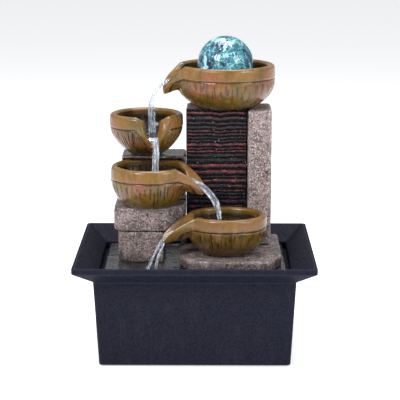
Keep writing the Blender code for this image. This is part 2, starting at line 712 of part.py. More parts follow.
def make_bowls():
    for bowl in (NOTCHED_BOWL, MIDDLE_BOWL, LOWER_BOWL):
        place(make_bowl(bowl), "rockery_frame", "bowl", True)
    top = make_bowl(TOP_BOWL)
    through = (TOP_BOWL.foot_z - MM, TOP_BOWL.floor_z + 3 * MM)
    cut(top, drum("nozzle_hole", HOSE_BORE_R, *through, CIRCUIT, collection=CUTTERS))
    lead = [a + b for a, b in zip(CIRCUIT, LEAD_OFFSET)]
    cut(top, drum("lead_hole", LEAD_R + SLIP, *through, lead, 12, CUTTERS))
    well_r = CUP_R + SLIP
    cut(top, drum("cup_seat", well_r, TOP_BOWL.floor_z, TOP_BOWL.floor_z + 12 * MM, CIRCUIT, 32,
                  CUTTERS))
    place(top, "rockery_frame", "bowl", True)


# ---- Nozzle, light, ball and hose ----


def make_nozzle_and_hose():
    floor = TOP_BOWL.floor_z
    low = TOWER_TOP - BARB
    barb_r = HOSE_BORE_R - GAP
    top = floor + GAP + NOZZLE_ABOVE
    flange = 1.5 * MM
    profile = [(BORE_R, top - low), (barb_r, top - low), (barb_r, floor + GAP + flange - low),
               (NOZZLE_FLANGE_R, floor + GAP + flange - low), (NOZZLE_FLANGE_R, floor + GAP - low),
               (barb_r, floor + GAP - low), (barb_r, 0), (BORE_R, 0)]
    place(turned("nozzle", profile, (*CIRCUIT, low)), "rockery_frame", "pump")
    hose_z = PUMP_TOP + 2 * MM
    hose_top = TOWER_TOP - MM
    length = hose_top - hose_z
    profile = [(HOSE_BORE_R, length), (HOSE_R, length), (HOSE_R, 0), (HOSE_BORE_R, 0)]
    place(turned("hose", profile, (*CIRCUIT, hose_z)), "rockery_frame", "hose")


def make_light():
    """A ring light round the nozzle, with its lead down through the shaft to a plug at the pump."""
    z = TOP_BOWL.floor_z + GAP
    inner = LENS_BORE_R
    profile = [(inner, LIGHT_HEIGHT), (LIGHT_R, LIGHT_HEIGHT), (LIGHT_R, 0), (inner, 0)]
    place(turned("light_ring", profile, (*CIRCUIT, z), steps=28), "rockery_frame", "pump")
    profile = [(inner, LENS_THICK), (LIGHT_R, LENS_THICK), (LIGHT_R, 0), (inner, 0)]
    lens = turned("light_lens", profile, (*CIRCUIT, z + LIGHT_HEIGHT + GAP), steps=28)
    place(lens, "rockery_frame", "clear")
    x, y = [a + b for a, b in zip(CIRCUIT, LEAD_OFFSET)]
    plug_y = y + 5.4 * MM
    socket_z = PUMP_TOP + GAP
    plug_z = socket_z + 3.5 * MM
    plug_length = 14 * MM
    socket_height = 10 * MM
    plug_r = 3.5 * MM
    profile = [(0, 3 * MM), (plug_r + SLIP, 3 * MM), (plug_r + SLIP, socket_height),
               (plug_r + 2 * MM, socket_height), (plug_r + 2 * MM, 0), (0, 0)]
    place(turned("light_socket", profile, (x, plug_y, socket_z), steps=20), "basin_frame", "pump")
    profile = [(0, plug_length), (plug_r - MM, plug_length), (plug_r, plug_length - 2 * MM),
               (plug_r, 0), (0, 0)]
    place(turned("light_plug", profile, (x, plug_y, plug_z), steps=20), "rockery_frame", "pump")
    top = plug_z + plug_length + GAP
    route = [(x, plug_y, top), (x, plug_y, top + 4 * MM), (x, y + 1.5 * MM, top + 10 * MM),
             (x, y, top + 17 * MM), (x, y, SLAB_TOP), (x, y, TOWER_Z + TOWER_HEIGHT / 2),
             (x, y, TOP_BOWL.foot_z), (x, y, z - GAP)]
    tube("light_lead", LEAD_R, route, "rockery_frame", "rubber")


def make_ball():
    centre_z = TOP_BOWL.floor_z + BALL_LIFT
    bottom = TOP_BOWL.floor_z + GAP
    profile = [(CUP_BORE_R, CUP_HEIGHT), (CUP_R, CUP_HEIGHT), (CUP_R, 0), (CUP_BORE_R, 0)]
    cup = turned("ball_cup", profile, (*CIRCUIT, bottom), steps=36)
    shape = bmesh.new()
    bmesh.ops.create_uvsphere(shape, u_segments=36, v_segments=18, radius=BALL_R + SLIP)
    mesh = bpy.data.meshes.new("cup_seat_sphere")
    shape.to_mesh(mesh)
    shape.free()
    cut(cup, object_from("cup_seat_sphere", mesh, (*CIRCUIT, centre_z), CUTTERS))
    for i in range(CUP_PORTS // 2):
        port = box(f"cup_port_{i + 1}", (-2 * CUP_R, -2 * MM, 0), (2 * CUP_R, 2 * MM, 4 * MM),
                   collection=CUTTERS)
        port.location = (*CIRCUIT, bottom - MM)
        port.rotation_euler = (0, 0, math.pi * (i + 0.5) / (CUP_PORTS // 2))
        cut(cup, port)
    place(cup, "ball_cup_frame", "clear", True)

    shape = bmesh.new()
    bmesh.ops.create_uvsphere(shape, u_segments=28, v_segments=14, radius=BALL_R)
    mesh = bpy.data.meshes.new("glass_ball")
    shape.to_mesh(mesh)
    shape.free()
    ball = object_from("glass_ball", mesh, (*CIRCUIT, centre_z))
    place(ball, "ball_frame", "glass", True)


# ---- Pump ----


def forward(radius_profile, name, y, steps=24, collection=OBJECT):
    """A turned piece on the pump's axis. Its profile's height runs from y towards the front."""
    return turned(name, radius_profile, (CIRCUIT[0], y, PUMP_AXIS_Z), (math.pi / 2, 0, 0), steps,
                  collection)


def make_pump_housing():
    x = CIRCUIT[0]
    half = PUMP_WIDTH / 2
    housing = box("pump_housing", (x - half, PUMP_FRONT, PUMP_Z), (x + half, PUMP_BACK, PUMP_TOP),
                  1.2 * MM)
    plate_depth = 2.2 * MM
    plate_r = CHAMBER_R + 2 * MM
    rotor_depth = CHAMBER_DEPTH + MAGNET_LENGTH + 2 * SLIP
    bore = [(0, rotor_depth + MM), (plate_r, rotor_depth + MM), (plate_r, rotor_depth - plate_depth),
            (CHAMBER_R, rotor_depth - plate_depth), (CHAMBER_R, rotor_depth - CHAMBER_DEPTH),
            (MAGNET_R + SLIP, rotor_depth - CHAMBER_DEPTH), (MAGNET_R + SLIP, 0),
            (SHAFT_R + GAP, 0), (SHAFT_R + GAP, -2.5 * MM), (0, -2.5 * MM)]
    cut(housing, forward(bore, "pump_bore", PUMP_FRONT + rotor_depth, 32, CUTTERS))
    spigot_r = HOSE_BORE_R - GAP
    spigot = drum("spigot", spigot_r, PUMP_TOP - MM, PUMP_TOP + BARB, CIRCUIT, collection=CUTTERS)
    cut(housing, spigot, "UNION")
    channel = drum("spigot_bore", BORE_R, PUMP_AXIS_Z + CHAMBER_R - 3 * MM, PUMP_TOP + BARB + MM,
                   CIRCUIT, 16, CUTTERS)
    cut(housing, channel)
    for i, (sx, sy) in enumerate(((-1, -1), (1, -1), (-1, 1), (1, 1))):
        at = (x + sx * 12 * MM, (PUMP_FRONT + PUMP_BACK) / 2 + sy * 10 * MM)
        stem_r, stem = 2.2 * MM, 2 * MM
        cut(housing, drum(f"cup_stem_hole_{i + 1}", stem_r + GAP, PUMP_Z - MM, PUMP_Z + stem + GAP, at,
                          12, CUTTERS))
        height = CUP_FOOT_HEIGHT - GAP
        profile = [(0, height + stem), (stem_r, height + stem), (stem_r, 2.4 * MM),
                   (CUP_FOOT_R, 0.8 * MM), (CUP_FOOT_R, 0), (0, 1.2 * MM)]
        suction = turned(f"suction_cup_{i + 1}", profile, (*at, FLOOR_Z + GAP), steps=20)
        place(suction, "basin_frame", "rubber")
    place(housing, "basin_frame", "pump")

    disc = [(SHAFT_R + GAP, plate_depth - GAP), (plate_r - GAP, plate_depth - GAP),
            (plate_r - GAP, 0), (SHAFT_R + GAP, 0)]
    front_plate = forward(disc, "chamber_plate", PUMP_FRONT + plate_depth - GAP)
    for i in range(4):
        turn = math.pi / 2 * (i + 0.5)
        hole = [(0, 4 * MM), (2.6 * MM, 4 * MM), (2.6 * MM, 0), (0, 0)]
        eye = turned(f"chamber_eye_{i + 1}", hole,
                     (x + 6.5 * MM * math.cos(turn), PUMP_FRONT + 3 * MM,
                      PUMP_AXIS_Z + 6.5 * MM * math.sin(turn)), (math.pi / 2, 0, 0), 12, CUTTERS)
        cut(front_plate, eye)
    place(front_plate, "basin_frame", "pump")
    shaft_length = rotor_depth + 2 * MM
    shaft = forward([(0, shaft_length), (SHAFT_R, shaft_length), (SHAFT_R, 0), (0, 0)], "pump_shaft",
                    PUMP_FRONT + shaft_length, 16)
    place(shaft, "basin_frame", "ceramic")


def make_impeller():
    """Magnet, disc and vanes in one moulding. Its origin is on the shaft."""
    hole = SHAFT_R + GAP
    disc_r = CHAMBER_R - MM
    magnet_front = MAGNET_LENGTH
    disc_front = magnet_front + 2.5 * MM
    profile = [(hole, disc_front), (disc_r, disc_front), (disc_r, disc_front - 1.5 * MM),
               (MAGNET_R - SLIP, disc_front - 1.5 * MM), (MAGNET_R - SLIP, 0), (hole, 0)]
    back = PUMP_FRONT + CHAMBER_DEPTH + MAGNET_LENGTH + SLIP
    impeller = forward(profile, "impeller", back, 32)
    for i in range(VANES // 2):
        vane = box(f"vane_pair_{i + 1}", (-disc_r + MM, -0.6 * MM, 0), (disc_r - MM, 0.6 * MM, 6 * MM),
                   collection=CUTTERS)
        vane.rotation_euler = (math.pi / 2, math.pi * i / (VANES // 2), 0)
        vane.location = (CIRCUIT[0], back - disc_front + MM, PUMP_AXIS_Z)
        cut(impeller, vane, "UNION")
    cut(impeller, forward([(0, 40 * MM), (hole, 40 * MM), (hole, -MM), (0, -MM)], "impeller_bore",
                          back, 24, CUTTERS))
    place(impeller, "impeller_frame", "ceramic")


def make_pump_cover():
    """The slotted strainer that slides off the front, with its foam and the flow knob."""
    x = CIRCUIT[0]
    half = PUMP_WIDTH / 2
    back = PUMP_FRONT - GAP
    front = back - COVER_LENGTH
    low = (x - half, front, PUMP_Z)
    cover = box("pump_cover", low, (x + half, back, PUMP_TOP), 1.2 * MM)
    inside = [a + COVER_WALL for a in low]
    cut(cover, box("cover_hollow", inside, (x + half - COVER_WALL, back + MM, PUMP_TOP - COVER_WALL),
                   collection=CUTTERS))
    for i, step in enumerate((-14.5, -10.5, 10.5, 14.5)):
        slot_x = x + step * MM
        cut(cover, box(f"intake_slot_{i + 1}", (slot_x - 1.2 * MM, front - MM, PUMP_Z + 6 * MM),
                       (slot_x + 1.2 * MM, front + COVER_WALL + MM, PUMP_TOP - 6 * MM),
                       collection=CUTTERS))
    stem_r = 2 * MM
    stem_hole = [(0, 6 * MM), (stem_r + GAP, 6 * MM), (stem_r + GAP, 0), (0, 0)]
    cut(cover, forward(stem_hole, "knob_hole", front + 4 * MM, 16, CUTTERS))
    place(cover, "pump_cover_frame", "pump")
    margin = COVER_WALL + SLIP
    foam = box("filter_foam", (x - half + margin, front + COVER_WALL + 2 * MM, PUMP_Z + margin),
               (x + half - margin, back - 5 * MM, PUMP_TOP - margin))
    place(foam, "pump_cover_frame", "foam")
    stem = COVER_WALL + MM + GAP
    profile = [(0, stem + KNOB_THICK), (KNOB_R - MM, stem + KNOB_THICK), (KNOB_R, stem + KNOB_THICK - MM),
               (KNOB_R, stem), (stem_r, stem), (stem_r, 0), (0, 0)]
    knob = forward(profile, "flow_knob", front - GAP + stem, 28)
    grip = box("knob_grip", (-0.9 * MM, -KNOB_R + 1.5 * MM, 0), (0.9 * MM, KNOB_R - 1.5 * MM, 3 * MM),
               collection=CUTTERS)
    grip.rotation_euler = (math.pi / 2, 0, 0)
    grip.location = (x, front - GAP - KNOB_THICK + MM, PUMP_AXIS_Z)
    cut(knob, grip, "UNION")
    place(knob, "flow_knob_frame", "pump")


def make_pump_lead(inlet_end_y):
    x = CIRCUIT[0] - PUMP_WIDTH / 2 + 3.2 * MM
    y = PUMP_BACK - 5 * MM
    z = PUMP_TOP + GAP
    end = (INLET_X, inlet_end_y - GAP, INLET_Z)
    route = [(x, y, z), (x, y, z + 3 * MM), (x, y, z + 6 * MM), (x - 5 * MM, y - 4 * MM, z + 11 * MM),
             (x - 16 * MM, y - 10 * MM, z + 12 * MM), (INLET_X + 6 * MM, end[1] - 14 * MM, INLET_Z + MM),
             (INLET_X, end[1] - 7 * MM, INLET_Z), end]
    tube("pump_lead", 1.8 * MM, route, "basin_frame", "rubber")


def main():
    clear_scene()
    frame("basin_frame", (0, 0, 0))
    frame("rockery_frame", (0, 0, PLATE_Z), "basin_frame")
    frame("ball_cup_frame", (*CIRCUIT, TOP_BOWL.floor_z), "rockery_frame")
    frame("ball_frame", (*CIRCUIT, TOP_BOWL.floor_z + BALL_LIFT), "ball_cup_frame")
    frame("impeller_frame", (CIRCUIT[0], PUMP_FRONT, PUMP_AXIS_Z), "basin_frame")
    frame("pump_cover_frame", (CIRCUIT[0], PUMP_FRONT, PUMP_AXIS_Z), "basin_frame")
    frame("flow_knob_frame", (CIRCUIT[0], PUMP_FRONT - COVER_LENGTH, PUMP_AXIS_Z), "pump_cover_frame")
    inlet_end_y = make_inlet(make_basin())
    make_base_plate()
    make_right_slab()
    make_left_blocks()
    make_tower()
    make_bowls()
    make_nozzle_and_hose()
    make_light()
    make_ball()
    make_pump_housing()
    make_impeller()
    make_pump_cover()
    make_pump_lead(inlet_end_y)


FINISH = finishes()
main()
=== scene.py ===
"""Tabletop fountain: the finished surfaces of a cascade fountain with a lit glass ball.

Run as a script. Metres, +Z up, the viewer at -Y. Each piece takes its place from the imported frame,
keeps its mesh in the frame's coordinates and rides on one of the frame's bodies."""

import math
import random
from dataclasses import dataclass
from functools import cached_property

import bmesh
import bpy
from bpy.props import FloatProperty, FloatVectorProperty, IntProperty, PointerProperty
from mathutils import Matrix, Vector, noise


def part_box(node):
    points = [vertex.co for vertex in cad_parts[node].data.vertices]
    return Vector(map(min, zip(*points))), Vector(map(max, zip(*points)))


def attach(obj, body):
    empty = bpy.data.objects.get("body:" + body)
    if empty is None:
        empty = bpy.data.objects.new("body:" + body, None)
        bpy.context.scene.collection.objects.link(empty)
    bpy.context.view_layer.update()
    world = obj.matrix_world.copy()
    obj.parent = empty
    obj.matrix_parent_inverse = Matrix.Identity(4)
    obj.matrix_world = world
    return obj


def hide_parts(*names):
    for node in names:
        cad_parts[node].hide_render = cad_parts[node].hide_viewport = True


bl_info = {
    "name": "Tabletop Fountain",
    "version": (1, 0, 0),
    "blender": (4, 5, 0),
    "location": "3D View > Sidebar > Fountain",
    "description": "Finishes a tabletop cascade fountain round its frame",
    "category": "Add Mesh",
}

MM = 0.001
FOOT_GAP = 0.5 * MM
INLET_HOLE_R = 5.1 * MM
NOZZLE_HOLE_R = 6.7 * MM
LEAD_HOLE_R = 2 * MM
LEAD_OFFSET = 7.6 * MM
CRACKLE_CELL = 7.5 * MM
CRACKLE_INSET = 2.2 * MM
CRACKLE_RELIEF = 2.6 * MM
PLATE_LANDING = (-38.5 * MM, -32.4 * MM)
CAMERA_PLACE = (0.0133, -1.2475, 0.4156)
CAMERA_TILT = 77.35
CAMERA_TURN = 0.42
FLOOR_GLOW = 0.48
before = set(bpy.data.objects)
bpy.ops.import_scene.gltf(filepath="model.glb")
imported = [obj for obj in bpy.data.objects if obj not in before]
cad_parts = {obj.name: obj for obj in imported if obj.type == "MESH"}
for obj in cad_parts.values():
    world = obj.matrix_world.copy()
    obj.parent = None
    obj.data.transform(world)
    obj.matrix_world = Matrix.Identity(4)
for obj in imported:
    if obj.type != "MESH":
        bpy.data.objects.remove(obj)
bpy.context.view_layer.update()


# ---- Settings ----


def colour(name, description, default):
    return FloatVectorProperty(name=name, description=description, subtype="COLOR", size=3,
                               min=0, max=1, default=default)


def length(name, description, default, low=0.0, high=0.1):
    return FloatProperty(name=name, description=description, unit="LENGTH", subtype="DISTANCE",
                         default=default, min=low, max=high, precision=5)


class BasinSettings(bpy.types.PropertyGroup):
    plastic: colour("Plastic", "Colour of the moulded basin", (0.0070, 0.0072, 0.0145))
    # Edge: a painted highlight, the paler colour standing for the softboxes' reflection on the lip
    # and moulded edges
    edge: colour("Edge", "Paler colour where the moulded edges have worn", (0.026, 0.030, 0.056))
    grain: length("Grain", "Height of the moulded grain", 0.16 * MM, 0, MM)
    rounding: length("Rounding", "Radius of the basin's moulded edges", 0.7 * MM, 0.1 * MM, 3 * MM)


class StoneSettings(bpy.types.PropertyGroup):
    stone: colour("Stone", "Main colour of the cast stone", (0.285, 0.222, 0.212))
    stain: colour("Stain", "Brown that has run into the hollows", (0.070, 0.040, 0.030))
    # Pale grains are the stone's own colour; on the edges this colour is a painted highlight
    highlight: colour("Highlight", "Dry-brushed colour on edges and grains", (0.70, 0.63, 0.64))
    cell: length("Cell", "Size of the faces that the surface is worn from", 1.15 * MM,
                 0.8 * MM, 5 * MM)
    wear: length("Wear", "How deep the worn surface dips", 0.55 * MM, 0, 2 * MM)


class SlateSettings(bpy.types.PropertyGroup):
    slate: colour("Slate", "Wet rock in the gaps", (0.006, 0.006, 0.009))
    # The red-brown crest is the strips' own colour, made stronger on their top-lit fronts as a
    # painted highlight
    crest: colour("Crest", "Dry-brushed colour on the front of the strips", (0.33, 0.060, 0.055))
    strip: length("Strip", "Usual height of one strip of slate", 4.1 * MM, 2 * MM, 10 * MM)
    relief: length("Relief", "How far the gaps lie behind the strips", 3.0 * MM, 0.2 * MM, 4 * MM)
    drops: IntProperty(name="Drops", description="Water drops that cling to the slate", default=110,
                       min=0, max=400)


class BowlSettings(bpy.types.PropertyGroup):
    ochre: colour("Ochre", "Main colour of the glaze", (0.190, 0.096, 0.0110))
    # Olive also darkens each bowl towards the bottom
    olive: colour("Olive", "Darker colour that pools low on the bowls", (0.056, 0.046, 0.0048))
    blush: colour("Blush", "Warm patches in the glaze", (0.225, 0.062, 0.026))
    carving: colour("Carving", "Colour inside the carved strokes", (0.020, 0.010, 0.004))
    groove_drop: length("Groove drop", "From the rim down to the carved line", 8.6 * MM,
                        2 * MM, 20 * MM)
    carve_depth: length("Carving depth", "Depth of the carved strokes", 1.0 * MM, 0, 2 * MM)
    stroke_gap: length("Stroke gap", "Usual distance between carved strokes", 3.6 * MM,
                       2 * MM, 20 * MM)


class BallSettings(bpy.types.PropertyGroup):
    deep: colour("Deep", "Darkest colour in the crackle glass", (0.003, 0.022, 0.060))
    teal: colour("Teal", "Main colour of the crackle glass", (0.010, 0.165, 0.205))
    glint: colour("Glint", "Colour of the cracks that catch the light", (0.55, 0.86, 0.95))
    glow: FloatProperty(name="Glow", description="Strength of the light inside the ball",
                        default=0.55, min=0, max=10)


class WaterSettings(bpy.types.PropertyGroup):
    tint: colour("Tint", "Colour of the water", (0.88, 0.95, 1.0))
    ripple: length("Ripple", "Height of the ripples round each stream", 0.45 * MM, 0, 3 * MM)
    film: length("Film", "Thickness of the water on the plate", 0.5 * MM, 0.1 * MM, 3 * MM)


class StudioSettings(bpy.types.PropertyGroup):
    floor: colour("Floor", "Colour of the studio floor", (0.93, 0.93, 0.94))
    focal: FloatProperty(name="Focal length", description="Camera focal length in millimetres",
                         default=128.0, min=20, max=400)
    key: FloatProperty(name="Key light", description="Power of the main softbox", unit="POWER",
                       default=15.0, min=0, max=200)
    ambient: FloatProperty(name="Ambient", description="Strength of the light from all round",
                           default=0.42, min=0, max=5)


class FountainSettings(bpy.types.PropertyGroup):
    basin: PointerProperty(type=BasinSettings, name="Basin", description="The basin")
    stone: PointerProperty(type=StoneSettings, name="Stone", description="The cast stone")
    slate: PointerProperty(type=SlateSettings, name="Slate", description="The slate panel")
    bowls: PointerProperty(type=BowlSettings, name="Bowls", description="The pouring bowls")
    ball: PointerProperty(type=BallSettings, name="Ball", description="The lit glass ball")
    water: PointerProperty(type=WaterSettings, name="Water", description="The water")
    studio: PointerProperty(type=StudioSettings, name="Studio",
                            description="Floor, light and camera")


# ---- Shader effects shared by several finishes ----


def add(tree, kind, inputs=None, **settings):
    """A node with its settings, and its inputs either set or linked."""
    node = tree.nodes.new(kind)
    for name, value in settings.items():
        setattr(node, name, value)
    for name, value in (inputs or {}).items():
        socket = node.inputs[name]
        if isinstance(value, bpy.types.NodeSocket):
            tree.links.new(value, socket)
        else:
            socket.default_value = value
    return node


def mixed(tree, factor, first, second):
    """The colour between two colours."""
    node = add(tree, "ShaderNodeMix", data_type="RGBA")
    for index, value in ((0, factor), (6, first), (7, second)):
        socket = node.inputs[index]
        if isinstance(value, bpy.types.NodeSocket):
            tree.links.new(value, socket)
        else:
            socket.default_value = value if isinstance(value, float) else (*tuple(value)[:3], 1)
    return node.outputs[2]


def sums(tree, operation, first, second=0.0):
    return add(tree, "ShaderNodeMath", {0: first, 1: second}, operation=operation).outputs[0]


def times(tree, first, second):
    return sums(tree, "MULTIPLY", first, second)


def own_place(tree):
    """Where a point lies on the object that it belongs to."""
    return add(tree, "ShaderNodeTexCoord").outputs["Object"]


def drawn_out(tree, place, squeeze):
    """The place with its height squeezed, so that a pattern runs upright."""
    inputs = {"Vector": place, "Scale": (1.0, 1.0, squeeze)}
    return add(tree, "ShaderNodeMapping", inputs).outputs[0]


def cloudy(tree, place, scale, detail, **more):
    inputs = {"Vector": place, "Scale": scale, "Detail": detail, **more}
    return add(tree, "ShaderNodeTexNoise", inputs)


def celled(tree, place, scale, **settings):
    return add(tree, "ShaderNodeTexVoronoi", {"Vector": place, "Scale": scale}, **settings)


def stretched(tree, value, low, high, to_low=0.0, to_high=1.0):
    inputs = {"Value": value, "From Min": low, "From Max": high, "To Min": to_low,
              "To Max": to_high}
    return add(tree, "ShaderNodeMapRange", inputs).outputs[0]


def effect(name, inputs, outputs, build):
    """A node group, built the first time that it is asked for."""
    tree = bpy.data.node_groups.get(name)
    if tree:
        return tree
    tree = bpy.data.node_groups.new(name, "ShaderNodeTree")
    for label, value in inputs:
        kind = "NodeSocketColor" if isinstance(value, tuple) else "NodeSocketFloat"
        socket = tree.interface.new_socket(label, in_out="INPUT", socket_type=kind)
        socket.default_value = (*value, 1) if isinstance(value, tuple) else value
    for label, kind in outputs:
        tree.interface.new_socket(label, in_out="OUTPUT", socket_type=kind)
    given = tree.nodes.new("NodeGroupInput").outputs
    place = own_place(tree)
    for label, socket in build(tree, given, place).items():
        end = next((n for n in tree.nodes if n.type == "GROUP_OUTPUT"), None)
        end = end or tree.nodes.new("NodeGroupOutput")
        tree.links.new(socket, end.inputs[label])
    return tree


def mottle():
    """Soft patches of a second colour over a first."""
    def build(tree, given, place):
        cloud = cloudy(tree, place, given["Scale"], 5.0, Roughness=0.62)
        mask = add(tree, "ShaderNodeMapRange", {"Value": cloud.outputs[0], "From Min": given["Low"],
                                                "From Max": given["High"]}).outputs[0]
        return {"Color": mixed(tree, mask, given["First"], given["Second"]), "Mask": mask}
    return effect("Mottle", [("First", (0.5, 0.5, 0.5)), ("Second", (0.2, 0.2, 0.2)),
                             ("Scale", 60.0), ("Low", 0.4), ("High", 0.6)],
                  [("Color", "NodeSocketColor"), ("Mask", "NodeSocketFloat")], build)


def grains():
    """Close-packed mineral grains: a mask of dark ones, a mask of pale ones, and their height."""
    def build(tree, given, place):
        wobble = cloudy(tree, place, 700.0, 2.0)
        shifted = add(tree, "ShaderNodeVectorMath", {0: wobble.outputs["Color"]}, operation="SCALE")
        shifted.inputs["Scale"].default_value = 0.0011
        at = add(tree, "ShaderNodeVectorMath", {0: place, 1: shifted.outputs[0]}, operation="ADD")
        cells = celled(tree, at.outputs[0], given["Scale"])
        pick = add(tree, "ShaderNodeSeparateColor", {0: cells.outputs["Color"]})
        dark = stretched(tree, pick.outputs[0], 0.30, 0.08)
        pale = stretched(tree, pick.outputs[1], 0.72, 0.95)
        edge = stretched(tree, cells.outputs["Distance"], 0.05, 0.75, 1.0, 0.0)
        lift = times(tree, pick.outputs[2], 0.6)
        return {"Dark": dark, "Pale": pale, "Height": sums(tree, "MULTIPLY_ADD", edge, lift)}
    return effect("Mineral grains", [("Scale", 900.0)],
                  [("Dark", "NodeSocketFloat"), ("Pale", "NodeSocketFloat"),
                   ("Height", "NodeSocketFloat")], build)


def damp():
    """How wet a surface is: all of it below a level, then ragged runs above it."""
    def build(tree, given, place):
        z = add(tree, "ShaderNodeSeparateXYZ", {0: place}).outputs[2]
        squeeze = drawn_out(tree, place, 0.25)
        runs = cloudy(tree, squeeze, 130.0, 3.0)
        reach = times(tree, runs.outputs[0], given["Spread"])
        top = sums(tree, "ADD", given["Level"], reach)
        under = sums(tree, "SUBTRACT", top, z)
        return {"Mask": stretched(tree, under, 0.0, 0.006)}
    return effect("Damp", [("Level", 0.08), ("Spread", 0.03)], [("Mask", "NodeSocketFloat")], build)


def scale_marks():
    """Faint pale marks that dried water leaves."""
    def build(tree, given, place):
        squeeze = drawn_out(tree, place, 0.35)
        runs = cloudy(tree, squeeze, 95.0, 6.0, Roughness=0.7)
        fleck = cloudy(tree, place, 1500.0, 1.0)
        both = times(tree, stretched(tree, runs.outputs[0], 0.52, 0.75),
                    stretched(tree, fleck.outputs[0], 0.35, 0.65))
        return {"Mask": times(tree, both, given["Amount"])}
    return effect("Scale marks", [("Amount", 0.3)], [("Mask", "NodeSocketFloat")], build)


def moulded_grain():
    """The fine pebbled grain of moulded plastic and rubber."""
    def build(tree, given, place):
        cells = celled(tree, place, given["Scale"], feature="SMOOTH_F1")
        cloud = cloudy(tree, place, given["Scale"], 3.0)
        height = sums(tree, "MULTIPLY_ADD", cells.outputs["Distance"], -0.8)
        height.node.inputs[2].default_value = 0.8
        height = sums(tree, "ADD", height, times(tree, cloud.outputs[0], 0.5))
        return {"Height": height, "Mask": stretched(tree, height, 0.45, 0.95)}
    return effect("Moulded grain", [("Scale", 800.0)],
                  [("Height", "NodeSocketFloat"), ("Mask", "NodeSocketFloat")], build)


def group(tree, made, **inputs):
    """The outputs of a shared effect placed in a finish, with its own values."""
    node = add(tree, "ShaderNodeGroup", node_tree=made)
    for name, value in inputs.items():
        socket = node.inputs[name]
        if isinstance(value, bpy.types.NodeSocket):
            tree.links.new(value, socket)
        elif isinstance(value, (int, float)):
            socket.default_value = value
        else:
            socket.default_value = (*tuple(value)[:3], 1)
    return node.outputs


def mark(tree, name):
    """A mask that the mesh carries."""
    return add(tree, "ShaderNodeAttribute", attribute_name=name).outputs["Fac"]


def raised(tree, shader, height, distance, strength=1.0):
    inputs = {"Height": height, "Strength": strength, "Distance": distance}
    bump = add(tree, "ShaderNodeBump", inputs)
    tree.links.new(bump.outputs[0], shader.inputs["Normal"])


def finish(name, wire, **values):
    """A material: its constant values on the shader, and the rest wired by a function."""
    made = bpy.data.materials.get(name)
    if made:
        return made
    made = bpy.data.materials.new(name)
    made.use_nodes = True
    tree = made.node_tree
    shader = tree.nodes["Principled BSDF"]
    for label, value in values.items():
        shader.inputs[label.replace("_", " ")].default_value = value
    for label, value in (wire(tree, shader) or {}).items():
        if isinstance(value, bpy.types.NodeSocket):
            tree.links.new(value, shader.inputs[label])
        elif isinstance(value, float):
            shader.inputs[label].default_value = value
        else:
            shader.inputs[label].default_value = (*tuple(value)[:3], 1)
    return made


# ---- Finishes ----


def basin_plastic():
    use = bpy.context.scene.fountain.basin

    def wire(tree, shader):
        grain = group(tree, moulded_grain(), Scale=620.0)
        fine = group(tree, moulded_grain(), Scale=1700.0)
        dust = group(tree, scale_marks(), Amount=0.035)
        body = mixed(tree, times(tree, grain["Mask"], 0.55), use.plastic,
                     [2.1 * c + 0.004 for c in use.plastic])
        # Painted highlight: the sharp moulded edges take the paler edge colour in place of the
        # softboxes' reflection
        worn = mixed(tree, times(tree, mark(tree, "worn"), 0.8), body, use.edge)
        dusty = mixed(tree, dust["Mask"], worn, (0.35, 0.37, 0.42))
        height = sums(tree, "ADD", grain["Height"], times(tree, fine["Height"], 0.35))
        raised(tree, shader, height, use.grain)
        return {"Base Color": dusty, "Roughness": stretched(tree, grain["Mask"], 0, 1, 0.62, 0.45)}
    return finish("Basin plastic", wire, Specular_IOR_Level=0.07)


def cast_stone():
    use = bpy.context.scene.fountain.stone

    def wire(tree, shader):
        clouds = group(tree, mottle(), First=use.stone, Second=use.stain, Scale=60.0,
                       Low=0.46, High=0.66)
        warm = group(tree, mottle(), First=clouds["Color"], Second=(0.40, 0.27, 0.23), Scale=210.0,
                     Low=0.48, High=0.70)
        sand = group(tree, grains(), Scale=1050.0)
        dust = group(tree, grains(), Scale=1750.0)
        wet = group(tree, damp(), Level=0.0800, Spread=0.022)
        dark = times(tree, sand["Dark"], 0.9)
        with_dark = mixed(tree, dark, warm["Color"], [0.35 * c for c in use.stain])
        pale = times(tree, sand["Pale"], 0.7)
        with_pale = mixed(tree, pale, with_dark, use.highlight)
        flecks = mixed(tree, times(tree, dust["Dark"], 0.5), with_pale, (0.035, 0.025, 0.022))
        # Painted highlight: the pale colour laid along the edges stands for the light that they
        # catch
        brushed = times(tree, mark(tree, "worn"), stretched(tree, dust["Height"], 0.3, 1.0))
        edge_highlighted = mixed(tree, times(tree, brushed, 0.85), flecks, use.highlight)
        soaked = mixed(tree, times(tree, wet["Mask"], 0.62), edge_highlighted, [0.30 * c for c in use.stain])
        height = sums(tree, "ADD", sand["Height"], times(tree, dust["Height"], 0.4))
        raised(tree, shader, height, 1.0 * MM)
        return {"Base Color": soaked, "Roughness": stretched(tree, wet["Mask"], 0, 1, 0.78, 0.22)}
    return finish("Cast stone", wire)


def wet_and_shaded_stone():
    use = bpy.context.scene.fountain.stone

    def wire(tree, shader):
        # Darker stone: painted shade on the rear column, and wetness on the plate
        clouds = group(tree, mottle(), First=[0.42 * c for c in use.stone],
                       Second=(0.035, 0.026, 0.024), Scale=55.0, Low=0.40, High=0.66)
        sand = group(tree, grains(), Scale=620.0)
        dark = mixed(tree, times(tree, sand["Dark"], 0.7), clouds["Color"], (0.012, 0.010, 0.012))
        pale = mixed(tree, times(tree, sand["Pale"], 0.35), dark, (0.22, 0.20, 0.21))
        raised(tree, shader, sand["Height"], 0.4 * MM)
        return {"Base Color": pale, "Roughness": stretched(tree, clouds["Mask"], 0, 1, 0.34, 0.12)}
    return finish("Wet and shaded stone", wire, Coat_Weight=0.5, Coat_Roughness=0.06)


